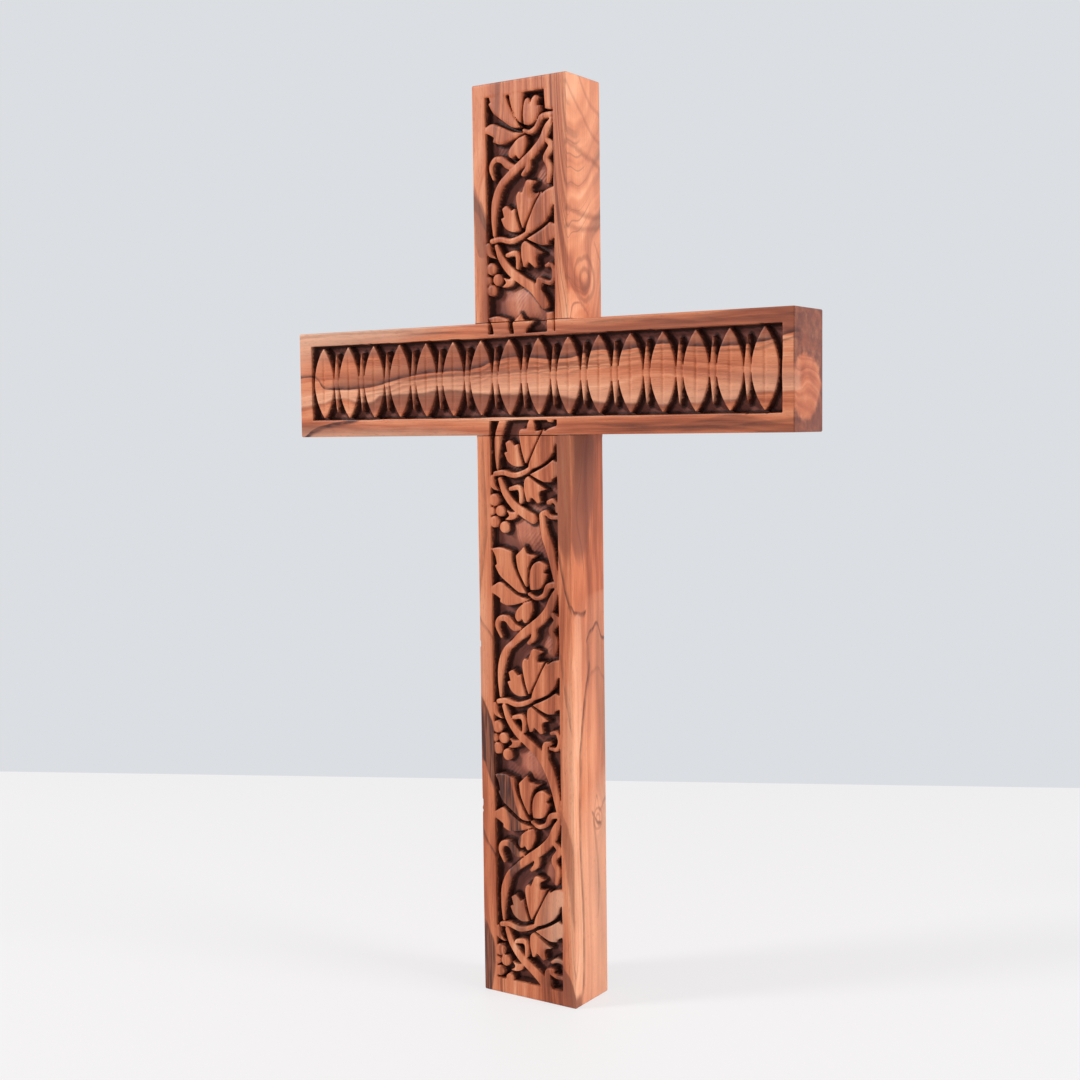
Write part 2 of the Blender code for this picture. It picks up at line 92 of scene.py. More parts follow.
# Leaf lobes of one repeat, from the middle of the panel and the start of the repeat. A third value
# marks a sharp corner, and the rest of an outline is a smooth curve.
SHARP = 1
LOBES = {
    "high_outer": [
        (0.4, 59.9, SHARP), (-2.5, 60.2), (-6.0, 62.5), (-9.8, 65.4), (-11.7, 68.5, SHARP),
        (-10.9, 69.0, SHARP), (-11.6, 71.8), (-12.9, 74.1, SHARP), (-9.4, 74.5), (-5.3, 73.4, SHARP),
        (-5.0, 70.0), (-3.6, 66.7), (-1.4, 62.7),
    ],
    "high_middle": [
        (0.6, 61.9, SHARP), (-0.9, 64.2), (-2.6, 67.8), (-3.4, 72.0, SHARP), (-0.2, 75.0, SHARP),
        (0.9, 72.9), (4.6, 72.3, SHARP), (2.5, 70.9), (1.2, 68.2), (0.8, 65.0),
    ],
    "high_inner": [
        (2.2, 61.1, SHARP), (1.9, 64.0), (2.2, 67.2), (3.6, 69.6), (6.0, 70.5), (8.8, 69.2, SHARP),
        (7.1, 66.9, SHARP), (8.6, 66.4, SHARP), (7.4, 63.8), (5.6, 61.6),
    ],
    "high_side": [
        (-14.0, 60.8, SHARP), (-12.0, 62.2), (-9.6, 63.1), (-6.5, 61.1), (-2.5, 58.8),
        (1.6, 57.9, SHARP), (-2.5, 56.4), (-7.0, 55.6), (-9.9, 56.6, SHARP), (-9.7, 57.7, SHARP),
        (-12.0, 59.0), (-14.0, 59.8, SHARP),
    ],
    "high_lower": [
        (2.4, 57.5, SHARP), (-0.5, 56.5), (-3.2, 54.2), (-4.0, 52.0), (-2.9, 50.5),
        (-1.3, 51.5, SHARP), (-0.1, 50.1), (1.6, 51.9), (2.7, 54.8),
    ],
    "low_outer": [
        (-0.3, 26.1, SHARP), (-3.0, 25.8), (-5.8, 27.2), (-7.4, 30.2, SHARP), (-6.1, 30.6, SHARP),
        (-6.9, 33.4, SHARP), (-5.2, 34.2), (-3.3, 32.5, SHARP), (-2.1, 33.0, SHARP), (-1.7, 30.5),
    ],
    "low_middle": [
        (0.9, 26.8, SHARP), (-0.1, 29.5), (-0.9, 32.8), (-1.4, 36.5), (-0.5, 38.3),
        (0.9, 38.0, SHARP), (1.6, 39.6), (2.9, 41.7), (6.3, 41.0, SHARP), (4.3, 39.6),
        (4.6, 37.6), (6.9, 37.6, SHARP), (5.2, 34.3), (2.6, 29.7),
    ],
    "low_inner": [
        (1.9, 24.7, SHARP), (2.5, 27.4), (4.0, 30.5), (6.3, 34.8), (8.1, 37.7, SHARP),
        (8.4, 36.9, SHARP), (10.4, 38.1), (14.0, 39.0, SHARP), (14.0, 33.6, SHARP),
        (12.2, 32.8), (11.4, 30.5, SHARP), (9.0, 27.8), (5.4, 25.8),
    ],
    "low_side": [
        (2.6, 23.2, SHARP), (6.0, 24.7), (9.0, 26.2), (11.4, 27.8, SHARP), (14.0, 26.6, SHARP),
        (14.0, 23.4, SHARP), (11.0, 21.9, SHARP), (10.7, 21.0, SHARP), (8.3, 20.8), (5.5, 21.8),
    ],
    "low_lower": [
        (1.8, 22.6, SHARP), (0.5, 21.4), (0.3, 18.0), (1.2, 14.4, SHARP), (2.0, 14.5), (3.0, 15.8),
        (5.4, 13.9, SHARP), (6.3, 14.4, SHARP), (5.9, 17.5), (8.5, 18.5, SHARP), (6.0, 19.9),
    ],
    "cluster_leaflet": [
        (-6.8, 11.4, SHARP), (-5.0, 10.8), (-2.3, 11.1, SHARP), (-3.2, 9.2), (-5.2, 8.4),
        (-7.4, 8.4, SHARP), (-5.8, 9.7),
    ],
    "border_leaflet": [
        (-14.0, 22.2, SHARP), (-12.2, 22.8), (-11.4, 19.8), (-9.8, 17.8, SHARP), (-12.2, 18.5),
        (-14.0, 20.4, SHARP),
    ],
}

# Stems, stalks and tendrils: points of the middle line, with the width there.
STEMS = {
    "low_stem": [
        (-8.9, 21.9, 1.5), (-7.0, 17.6, 2.1), (-3.4, 13.3, 2.6), (1.0, 10.1, 2.8), (5.2, 6.8, 3.3),
        (8.3, 2.6, 3.5), (10.3, -2.8, 2.7), (12.3, -10.4, 2.3),
    ],
    "low_stem_stub": [(7.2, 6.0, 2.0), (7.1, 10.2, 1.9), (9.1, 11.2, 1.2)],
    "high_stem": [
        (12.6, 61.9, 1.2), (10.8, 58.4, 2.7), (8.9, 54.5, 2.9), (5.4, 51.0, 2.9), (0.6, 47.6, 2.8),
        (-4.0, 44.2, 2.3), (-7.6, 40.9, 2.3), (-9.6, 36.0, 2.6), (-10.3, 30.6, 1.8), (-10.2, 25.2, 0.7),
    ],
    "high_stalk": [
        (1.7, 59.7, 0.9), (4.4, 58.4, 1.2), (7.4, 59.7, 1.3), (9.2, 62.6, 1.8), (14.0, 63.4, 1.8),
    ],
    "low_stalk": [
        (-11.2, 23.4, 1.5), (-8.0, 23.8, 1.6), (-3.8, 22.9, 1.6), (0.4, 24.0, 1.4), (2.8, 25.4, 1.0),
    ],
    "left_tendril": [
        (-2.0, 48.3, 0.8), (-4.6, 48.5, 2.5), (-7.2, 51.0, 2.2), (-10.2, 51.0, 1.7),
        (-11.2, 48.6, 1.5), (-9.7, 45.0, 0.7),
    ],
    "right_tendril": [
        (9.6, 54.2, 1.0), (12.2, 51.6, 2.1), (10.0, 48.2, 1.8), (11.5, 44.8, 2.0), (10.9, 40.6, 1.2),
    ],
    "stem_hook": [(3.2, 48.4, 1.9), (3.1, 45.6, 1.8), (1.2, 43.6, 1.0)],
    "angled_sprig": [(-5.2, 18.5, 1.2), (-2.2, 19.0, 1.6), (-1.1, 17.6, 1.5), (-1.2, 14.3, 1.1)],
    "low_tendril": [
        (9.6, 14.6, 1.0), (11.8, 14.8, 1.2), (12.8, 12.0, 1.2), (11.6, 9.5, 1.2), (9.0, 9.5, 0.8),
    ],
}

# Grapes of one cluster: middle and radius.
GRAPES = [
    (-11.8, 14.8, 1.95), (-9.4, 11.2, 1.75), (-12.9, 11.1, 1.3), (-11.8, 7.6, 1.85), (-7.8, 5.9, 1.85),
]

# Where one repeat departs from the pattern. None leaves a shape out.
OWN_LOBES = {
    2: {
        "high_inner": None,
        "low_middle": [
            (0.9, 26.8, SHARP), (-0.1, 29.5), (-0.9, 32.8), (-1.4, 37.2), (0.3, 38.0, SHARP), (1.5, 37.9),
            (1.9, 39.6), (2.8, 40.9), (3.6, 40.9), (4.3, 39.6), (4.5, 38.0), (5.0, 37.2),
            (7.0, 37.4, SHARP), (5.2, 34.3), (2.6, 29.7),
        ],
        "leaf_tip": [(8.9, 42.2, SHARP), (9.5, 40.4), (11.0, 40.2), (11.8, 42.2, SHARP)],
    },
    3: {
        "high_outer": [
            (0.4, 58.6, SHARP), (-2.5, 58.9), (-6.0, 61.2), (-9.8, 64.1), (-11.7, 67.2, SHARP),
            (-11.0, 67.7, SHARP), (-11.6, 69.5), (-12.0, 72.0, SHARP), (-5.4, 72.0, SHARP),
            (-5.0, 68.7), (-3.6, 65.4), (-1.4, 61.4),
        ],
        "high_middle": [
            (0.7, 59.9, SHARP), (-1.2, 61.9), (-2.7, 64.9), (-3.5, 68.4), (-3.6, 72.0, SHARP),
            (1.6, 72.0, SHARP), (1.6, 69.0), (1.3, 65.5), (0.9, 62.0),
        ],
        "high_inner": [
            (2.0, 59.4, SHARP), (1.7, 62.0), (1.9, 65.0), (2.5, 66.9), (3.5, 67.4), (4.1, 66.9, SHARP),
            (4.4, 65.5, SHARP), (5.2, 67.1), (6.6, 67.9), (7.8, 67.1, SHARP), (6.9, 65.6),
            (7.0, 64.6, SHARP), (8.2, 64.5, SHARP), (8.0, 62.8), (6.6, 60.4), (4.0, 59.0),
        ],
        "high_side": [
            (-14.0, 58.8, SHARP), (-12.4, 60.2), (-10.0, 60.7), (-6.5, 59.2), (-2.5, 57.4),
            (1.6, 56.6, SHARP), (-2.5, 55.1), (-7.0, 54.0), (-10.2, 55.0, SHARP), (-9.7, 56.4, SHARP),
            (-12.0, 57.7), (-14.0, 58.4, SHARP),
        ],
        "high_lower": [
            (2.4, 55.9, SHARP), (-0.5, 55.0), (-3.4, 52.4), (-4.2, 50.4), (-3.0, 49.2),
            (-1.3, 50.2, SHARP), (-0.1, 48.8), (1.6, 50.4), (2.9, 53.4),
        ],
        "cut_stem": [
            (9.7, -0.6, SHARP), (12.3, -0.4, SHARP), (12.4, -6.9, SHARP), (9.9, -6.9, SHARP),
        ],
        "top_corner": [
            (9.7, 72.0, SHARP), (9.8, 67.5), (10.1, 63.3, SHARP), (14.0, 62.7, SHARP), (14.0, 72.0, SHARP),
        ],
    },
}

OWN_STEMS = {
    0: {
        "low_tendril": [(8.8, 13.9, 0.9), (11.0, 14.8, 1.3), (14.0, 14.2, 1.2)],
        "foot_tendril": [(8.8, 10.0, 1.2), (11.0, 9.2, 1.2), (14.0, 9.4, 1.1)],
    },
    2: {
        "low_stem": [
            (-9.4, 21.6, 1.3), (-7.4, 17.2, 2.2), (-4.0, 13.2, 2.6), (0.0, 10.6, 2.9), (3.4, 8.9, 3.2),
        ],
        "cut_stem": [
            (7.0, 10.0, 2.0), (7.3, 7.0, 2.2), (8.2, 3.4, 2.8), (9.7, -0.4, 3.0), (10.9, -5.0, 2.4),
            (12.3, -10.4, 2.3),
        ],
        "low_stem_stub": [(7.0, 10.4, 1.6), (8.4, 11.0, 1.5), (10.4, 9.6, 1.3), (13.0, 9.5, 1.1)],
        "low_tendril": [(9.6, 14.3, 1.4), (11.2, 14.9, 1.3), (12.6, 13.6, 1.1), (12.7, 11.4, 0.8)],
    },
    3: {
        "low_stem": [
            (-9.4, 21.6, 1.3), (-7.6, 17.6, 2.2), (-4.4, 13.6, 2.6), (0.0, 10.4, 2.8), (4.6, 7.4, 3.1),
            (7.6, 4.2, 3.4), (9.0, 2.0, 2.8),
        ],
        "low_stem_stub": [(6.6, 7.0, 2.0), (7.0, 9.8, 2.1)],
        "low_tendril": [
            (7.4, 10.0, 1.4), (9.4, 9.2, 1.3), (11.4, 8.8, 1.3), (12.5, 10.4, 1.2), (12.4, 13.2, 1.2),
            (11.2, 14.6, 1.2), (9.7, 14.2, 0.9),
        ],
        "high_stem": [
            (12.4, 59.6, 1.4), (10.6, 57.2, 2.4), (8.7, 53.6, 2.6), (5.2, 50.2, 2.5), (0.6, 47.0, 2.5),
            (-4.0, 43.9, 2.3), (-7.6, 40.6, 2.3), (-9.6, 35.8, 2.6), (-10.3, 30.6, 1.8),
            (-10.2, 25.2, 0.9),
        ],
        "left_tendril": [
            (-2.0, 46.6, 0.8), (-4.4, 47.0, 2.3), (-6.8, 49.0, 2.0), (-9.6, 49.2, 1.6), (-11.2, 46.8, 1.4),
            (-10.2, 43.2, 0.7),
        ],
        "high_stalk": [
            (1.9, 57.4, 0.9), (4.0, 56.7, 1.3), (6.4, 57.8, 1.4), (8.0, 60.2, 1.6), (9.5, 61.2, 1.7),
            (14.0, 61.2, 1.8),
        ],
    },
}

OWN_GRAPES = {
    0: [(-11.9, 14.5, 1.9), (-9.7, 11.2, 1.8), (-12.9, 10.8, 1.2), (-12.2, 7.3, 1.7), (-8.0, 5.5, 1.5)],
    3: [(-11.5, 14.5, 1.9), (-9.1, 10.9, 1.8), (-12.9, 10.8, 1.3), (-11.5, 7.6, 1.8)],
}

# Low mounds left in the ground: middle, half width, half height and rise.
MOUNDS = [
    (2.0, 79.0, 6.5, 5.0, 1.6), (1.5, 156.5, 7.0, 6.5, 1.9), (0.5, 229.0, 8.0, 5.5, 2.0),
    (7.5, 43.0, 2.6, 3.4, 1.0), (7.5, 118.0, 2.8, 3.6, 1.0), (7.6, 268.5, 2.8, 3.2, 1.1),
]

# Places where the gouge dipped into a stem or a leaf: middle, radius and depth.
DIPS = [(-6.2, 119.4, 2.4, 1.0), (-6.4, 43.4, 2.0, 0.7), (5.2, 115.6, 1.2, 1.0), (5.6, 264.0, 1.6, 1.6)]


def uneven(x, z, wavelength, seed):
    """A smooth uneven surface between about -1 and 1: a sum of plane waves of random headings."""
    rng = np.random.default_rng(seed)
    total = np.zeros_like(x, dtype=float)
    waves = 9
    for _ in range(waves):
        heading, phase = rng.uniform(0, math.tau, 2)
        length = wavelength * rng.uniform(0.6, 1.7)
        total += np.sin(math.tau * (x * math.cos(heading) + z * math.sin(heading)) / length + phase)
    return total / math.sqrt(waves * 2)


def smooth_curve(points, corners, closed, steps=5):
    """Points on a curve through given ones: cubic pieces whose slope at a point is half the step between
    its neighbours, and whose slope at a corner is that of the straight piece."""
    following = np.roll(points, -1, axis=0)
    before = np.roll(points, 1, axis=0)
    slope = (following - before) / 2
    leaving = np.where(corners[:, None], following - points, slope)
    arriving = np.roll(np.where(corners[:, None], points - before, slope), -1, axis=0)
    t = (np.arange(steps) / steps)[None, :, None]
    start, end, leaving, arriving = (part[:, None, :] for part in (points, following, leaving, arriving))
    curve = (
        (2 * t**3 - 3 * t**2 + 1) * start + (t**3 - 2 * t**2 + t) * leaving
        + (3 * t**2 - 2 * t**3) * end + (t**3 - t**2) * arriving
    ).reshape(-1, points.shape[1])
    return curve if closed else np.vstack([curve[: -steps], points[-1]])


def nearest_on_pieces(start, run, x, z):
    """The step to each point from the start of each straight piece, and the share of the piece, 0 to 1, at
    which it comes nearest: the step's part along the piece over the piece's length."""
    to_x, to_z = x[:, None] - start[:, 0], z[:, None] - start[:, 1]
    return to_x, to_z, np.clip((to_x * run[:, 0] + to_z * run[:, 1]) / (run**2).sum(axis=1), 0, 1)


def lobe_distance(outline, x, z):
    """How far each point is inside an outline, in mm and negative outside, and the step to its edge."""
    start, end = outline, np.roll(outline, -1, axis=0)
    run = end - start
    to_x, to_z, share = nearest_on_pieces(start, run, x, z)
    step_x, step_z = share * run[:, 0] - to_x, share * run[:, 1] - to_z
    away = np.hypot(step_x, step_z)
    nearest = away.argmin(axis=1)
    row = np.arange(len(x))
    with np.errstate(divide="ignore", invalid="ignore"):
        crossing = start[:, 0] + (z[:, None] - start[:, 1]) * run[:, 0] / run[:, 1]
    spans = (start[:, 1] > z[:, None]) != (end[:, 1] > z[:, None])
    inside = (spans & (x[:, None] < crossing)).sum(axis=1) % 2 == 1
    return np.where(inside, 1, -1) * away[row, nearest], step_x[row, nearest], step_z[row, nearest]


# Keeps the middle of a stem or grape from dividing by 0.
NEAR_ZERO = 1e-9


def stem_distance(line, x, z):
    """How far each point is inside a stem: half the width where the middle line is nearest, less the
    distance to it. Also the step to the stem's edge."""
    start, end = line[:-1], line[1:]
    run = end[:, :2] - start[:, :2]
    to_x, to_z, share = nearest_on_pieces(start, run, x, z)
    off_x, off_z = to_x - share * run[:, 0], to_z - share * run[:, 1]
    away = np.hypot(off_x, off_z) + NEAR_ZERO
    half = (start[:, 2] + share * (end[:, 2] - start[:, 2])) / 2
    best = (half - away).argmax(axis=1)
    row = np.arange(len(x))
    inside, away = (half - away)[row, best], away[row, best]
    return inside, off_x[row, best] / away * inside, off_z[row, best] / away * inside


def grape_distance(grape, x, z):
    """How far each point is inside a grape's circle, and the step to it."""
    off_x, off_z = x - grape[0], z - grape[1]
    away = np.hypot(off_x, off_z) + NEAR_ZERO
    inside = grape[2] - away
    return inside, off_x / away * inside, off_z / away * inside


WALL_ROOM = 1.5


def as_shape(measure, data, rim, drop, spread):
    """A shape left standing: how its distance is measured, its points, the width and drop of its rounded
    rim, and the box that it fills with its walls, spread beyond its points."""
    middle = np.atleast_2d(data)[:, :2]
    return {
        "measure": measure, "data": data, "rim": rim, "drop": drop,
        "low": middle.min(axis=0) - spread - WALL_ROOM, "high": middle.max(axis=0) + spread + WALL_ROOM,
    }


def vine_shapes():
    """Every lobe, stem and grape of the climbing vine, repeat above repeat."""
    shapes = []
    for repeat in range(VINE_REPEATS):
        rise = np.array([0.0, repeat * VINE_PITCH])
        for points in {**LOBES, **OWN_LOBES.get(repeat, {})}.values():
            if points:
                outline = np.array([point[:2] for point in points]) + rise
                corners = np.array([len(point) == 3 for point in points])
                curve = smooth_curve(outline, corners, closed=True)
                shapes.append(as_shape(lobe_distance, curve, rim=0.8, drop=0.28, spread=0))
        for points in {**STEMS, **OWN_STEMS.get(repeat, {})}.values():
            line = np.array(points) + [0.0, rise[1], 0.0]
            ends = np.zeros(len(line), bool)
            ends[[0, -1]] = True
            line = smooth_curve(line, ends, closed=False)
            shapes.append(as_shape(stem_distance, line, rim=0.7, drop=0.3, spread=line[:, 2].max()))
        for x, z, radius in OWN_GRAPES.get(repeat, GRAPES):
            grape = np.array([x, z + rise[1], radius])
            shapes.append(as_shape(grape_distance, grape, rim=0.6 * radius, drop=0.4, spread=radius))
    return shapes


def vine_ground(x, z):
    """Depth of the ground: level, less its low mounds, with the gouge's slanting furrows."""
    depth = np.full_like(x, GROUND)
    for middle_x, middle_z, half_width, half_height, rise in MOUNDS:
        reach = ((x - middle_x) / half_width) ** 2 + ((z - middle_z) / half_height) ** 2
        depth -= rise * np.exp(-(reach**1.5))
    furrows = np.sin(math.tau * (x * 0.72 - z * 0.69) / 1.05 + 1.5 * uneven(x, z, 9.0, 11))
    patches = np.clip(0.5 + 0.8 * uneven(x, z, 11.0, 12), 0, 1)
    return depth + 0.07 * furrows * patches + 0.14 * uneven(x, z, 6.0, 13)


def vine_wear(x, z):
    """How far the tops lie below the front: almost nothing, and more where the gouge dipped."""
    wear = 0.05 + 0.05 * uneven(x, z, 8.0, 14)
    for middle_x, middle_z, radius, depth in DIPS:
        wear = wear + depth * np.exp(-((x - middle_x) ** 2 + (z - middle_z) ** 2) / radius**2)
    return wear


def panel_distance(low, high, x, z):
    """How far each point is outside a sunk panel, in the wood round it, and the step to the panel's edge."""
    wander = 0.12 * uneven(x, z, 14.0, 21)
    sides = np.stack([low[0] - x, x - high[0], low[1] - z, z - high[1]]) + wander
    side = sides.argmax(axis=0)
    distance = sides.max(axis=0)
    step_x = np.where(side == 0, distance, np.where(side == 1, -distance, 0.0))
    step_z = np.where(side == 2, distance, np.where(side == 3, -distance, 0.0))
    return distance, step_x, step_z


def profile(inside, rim, drop, top, floor):
    """Depth across a shape's edge: a quarter ellipse at the rim, then the wall down to the floor."""
    inside = inside + 0.02
    bend = np.clip(1 - inside / rim, 0, 1)
    rounded = top + drop * (1 - np.sqrt(1 - bend**2))
    fall = np.clip(-inside / WALL, 0, 1) ** 0.7
    return np.where(inside >= 0, rounded, top + drop + (floor - top - drop) * fall)


def wall_shade_from_edge(edge):
    """How much painted shade a point gets, for the shade of the carving's narrow hollows: nothing on the
    tops, fully on the walls, and less and less over the ground away from a wall."""
    return np.clip(-edge / (0.6 * WALL), 0, 1) * np.clip(1 + (edge + WALL) / WALL_SHADE_REACH, 0, 1)


# How far into the border a shape that meets it is still worked out.
BORDER_OVERLAP = 0.6


def carve(x, z, panels, shapes, ground, wear):
    """Depth of a carved front at points of it: the highest of the ground, the border and each shape, whose
    rim is rounded and whose wall falls steeply. Points beside an edge are first moved onto it."""
    grid = x.shape
    x, z = x.ravel().copy(), z.ravel().copy()
    for settling in (True, False):
        edge = np.full_like(x, np.inf)
        step_x, step_z = np.zeros_like(x), np.zeros_like(x)
        for low, high in panels:
            inside, to_x, to_z = panel_distance(low, high, x, z)
            nearer = inside < edge
            edge = np.where(nearer, inside, edge)
            step_x, step_z = np.where(nearer, to_x, step_x), np.where(nearer, to_z, step_z)
        floor, top = ground(x, z), wear(x, z)
        depth = profile(edge, rim=0.4, drop=0.15, top=0.0, floor=floor)
        open_wood = edge < BORDER_OVERLAP
        for shape in shapes:
            (low_x, low_z), (high_x, high_z) = shape["low"], shape["high"]
            near = np.flatnonzero((x > low_x) & (x < high_x) & (z > low_z) & (z < high_z) & open_wood)
            if not len(near):
                continue
            inside, to_x, to_z = shape["measure"](shape["data"], x[near], z[near])
            nearer = inside > edge[near]
            edge[near] = np.maximum(edge[near], inside)
            step_x[near] = np.where(nearer, to_x, step_x[near])
            step_z[near] = np.where(nearer, to_z, step_z[near])
            own = profile(inside, shape["rim"], shape["drop"], top[near], floor[near])
            depth[near] = np.minimum(depth[near], own)
        if settling:
            beside = np.abs(edge) < GRID / 2
            x = np.where(beside, x + step_x, x)
            z = np.where(beside, z + step_z, z)
    return x.reshape(grid), z.reshape(grid), depth.reshape(grid), edge.reshape(grid)


def stations(stops, steps):
    """Places along a beam: from each stop to the next in steps of about the size given for that stretch."""
    places = []
    for start, end, step in zip(stops, stops[1:], steps):
        count = max(1, round((end - start) / step))
        places.append(np.linspace(start, end, count, endpoint=False))
    return np.concatenate([*places, stops[-1:]])


# Rows that round either end of a board, points that round each front corner, the rows between the
# ends, and the corners of a section.
END_ROWS = 4
CORNER_POINTS = 4
BODY = slice(END_ROWS, -END_ROWS)
CORNERS = 4


def section(front_columns, half_width):
    """Once round a beam's cross-section: points of the full rectangle, the inward shift of each for one mm
    of arris, the outward direction, which turns through a quarter circle at a corner, and the corner."""
    quarter = np.radians([0.0, 22.5, 45.0, 67.5, 90.0])
    place, shift, outward, corner = [], [], [], []
    for a in front_columns:
        place.append((a, FRONT))
        shift.append((0.0, -1.0))
        outward.append((0.0, -1.0))
        corner.append(0)
    turns = [(1, -1, 0, quarter[1:]), (1, 1, 1, quarter), (-1, 1, 2, quarter), (-1, -1, 3, quarter[:-1])]
    for side, face, number, angles in turns:
        for angle in angles:
            toward_side = math.sin(angle) if side * face < 0 else math.cos(angle)
            toward_face = math.cos(angle) if side * face < 0 else math.sin(angle)
            place.append((side * half_width, FRONT if face < 0 else BACK))
            shift.append((side, face))
            outward.append((side * toward_side, face * toward_face))
            corner.append(number)
    return np.array(place), np.array(shift), np.array(outward), np.array(corner)


def beam_grid(front_columns, half_width, low_end, high_end, along, radius):
    """A board with rounded edges, as a grid of (station, point of the section). A point lies one radius
    inside the faces, plus the radius times its outward direction, which at either end also turns towards
    the end face. The radius of each arris varies along the board."""
    place, shift, outward, corner = section(front_columns, half_width)
    turn = np.radians([67.5, 45.0, 22.5])
    tilt = np.concatenate([[math.pi / 2], turn, np.zeros(len(along)), turn[::-1], [math.pi / 2]])
    side = np.concatenate([-np.ones(END_ROWS), np.zeros(len(along)), np.ones(END_ROWS)])
    base = np.concatenate([np.full(END_ROWS, low_end + ARRIS), along, np.full(END_ROWS, high_end - ARRIS)])
    length = base + side * ARRIS * np.sin(tilt)
    bend = np.full((len(base), CORNERS), ARRIS)
    bend[BODY] = radius(along)
    bend = bend[:, corner]
    reach = bend * np.cos(tilt)[:, None]
    across = place[:, 0] - bend * shift[:, 0] + reach * outward[:, 0]
    depth = place[:, 1] - bend * shift[:, 1] + reach * outward[:, 1]
    return across, depth, np.repeat(length[:, None], len(place), axis=1)


def worn(along, seed, chips):
    """Arris radius at each station for the four corners: sanded a little unevenly, larger at a chip."""
    corners = [ARRIS * (0.85 + 0.15 * uneven(along, 0 * along, 26.0, seed + k)) for k in range(CORNERS)]
    radius = np.stack(corners, axis=1)
    for corner, place, half_length, extra in chips:
        radius[:, corner] += extra * np.exp(-(((along - place) / half_length) ** 4))
    return radius


def flush_between(radius, along, low, high):
    """Arris radius left almost square along the joint, where the two boards were planed flush."""
    outside = np.clip(np.maximum(low - along, along - high) / 1.2, 0, 1)[:, None]
    return TIGHT_ARRIS + (radius - TIGHT_ARRIS) * outside


def grid_faces(rows, columns, sunk):
    """Triangles of a grid that closes round its columns. Each cell is split along the diagonal whose ends
    differ less in depth, so that the edge of a carved shape isn't cut across."""
    row, column = np.meshgrid(np.arange(rows - 1), np.arange(columns), indexing="ij")
    beside = (column + 1) % columns
    a, b = row * columns + column, row * columns + beside
    c, d = (row + 1) * columns + beside, (row + 1) * columns + column
    flat = sunk.ravel()
    first = (np.abs(flat[a] - flat[c]) <= np.abs(flat[b] - flat[d]))[..., None]
    split_ac = np.stack([a, b, c, a, c, d], axis=-1)
    split_bd = np.stack([a, b, d, b, c, d], axis=-1)
    return np.where(first, split_ac, split_bd).reshape(-1, 3)


def close_up(board):
    """Merges points that coincide, turns every face outwards, and keeps the cut edges sharp."""
    shell = bmesh.new()
    shell.from_mesh(board.data)
    bmesh.ops.remove_doubles(shell, verts=shell.verts, dist=0.0000001)
    bmesh.ops.recalc_face_normals(shell, faces=shell.faces)
    shell.to_mesh(board.data)
    shell.free()
    board.data.shade_smooth()
    board.data.set_sharp_from_angle(angle=math.radians(48))


def add_object(name, data):
    """A new object, put into the scene at the origin."""
    added = bpy.data.objects.new(name, data)
    bpy.context.scene.collection.objects.link(added)
    return added


def sink(y, front, depth, edge):
    """Sinks a board's front points to their depth, and says how hollow each point is and how much painted
    shade it gets.
    """
    hollow, wall_shade_share = np.zeros_like(y), np.zeros_like(y)
    y[:, front] = np.maximum(y[:, front], FRONT + depth)
    hollow[:, front] = np.clip(depth / GROUND, 0, 1.2)
    wall_shade_share[:, front] = wall_shade_from_edge(edge)
    return hollow, wall_shade_share


def board_mesh(name, x, y, z, hollow, wall_shade_share):
    """A closed mesh from a grid of points, with a flat face at either end and two values on its points: how
    hollow it is, and its share of painted shade.
    """
    rows, columns = x.shape
    faces = grid_faces(rows, columns, y)
    mesh = bpy.data.meshes.new(name)
    points = np.stack([x, y, z], axis=-1).reshape(-1, 3) / METRE
    ends = [list(range(columns))[::-1], list(range((rows - 1) * columns, rows * columns))]
    mesh.from_pydata(points, [], [*faces.tolist(), *ends])
    for attribute_name, value in (("hollow", hollow), ("wall_shade_share", wall_shade_share)):
        attribute = mesh.attributes.new(attribute_name, "FLOAT", "POINT")
        attribute.data.foreach_set("value", value.ravel().astype(np.float32))
    board = add_object(name, mesh)
    close_up(board)
    return board


VINE = vine_shapes()

# Chips out of the front arrises, 3 on the left and 0 on the right: corner, height, half length, extra radius.
UPRIGHT_CHIPS = [(3, 117.6, 0.9, 0.9), (3, 64.0, 1.1, 1.0), (3, 61.2, 0.5, 0.5), (0, 281.3, 0.6, 0.5)]


# The step at a shoulder of the joint: two rows of points, this far apart.
HAIR = 0.004


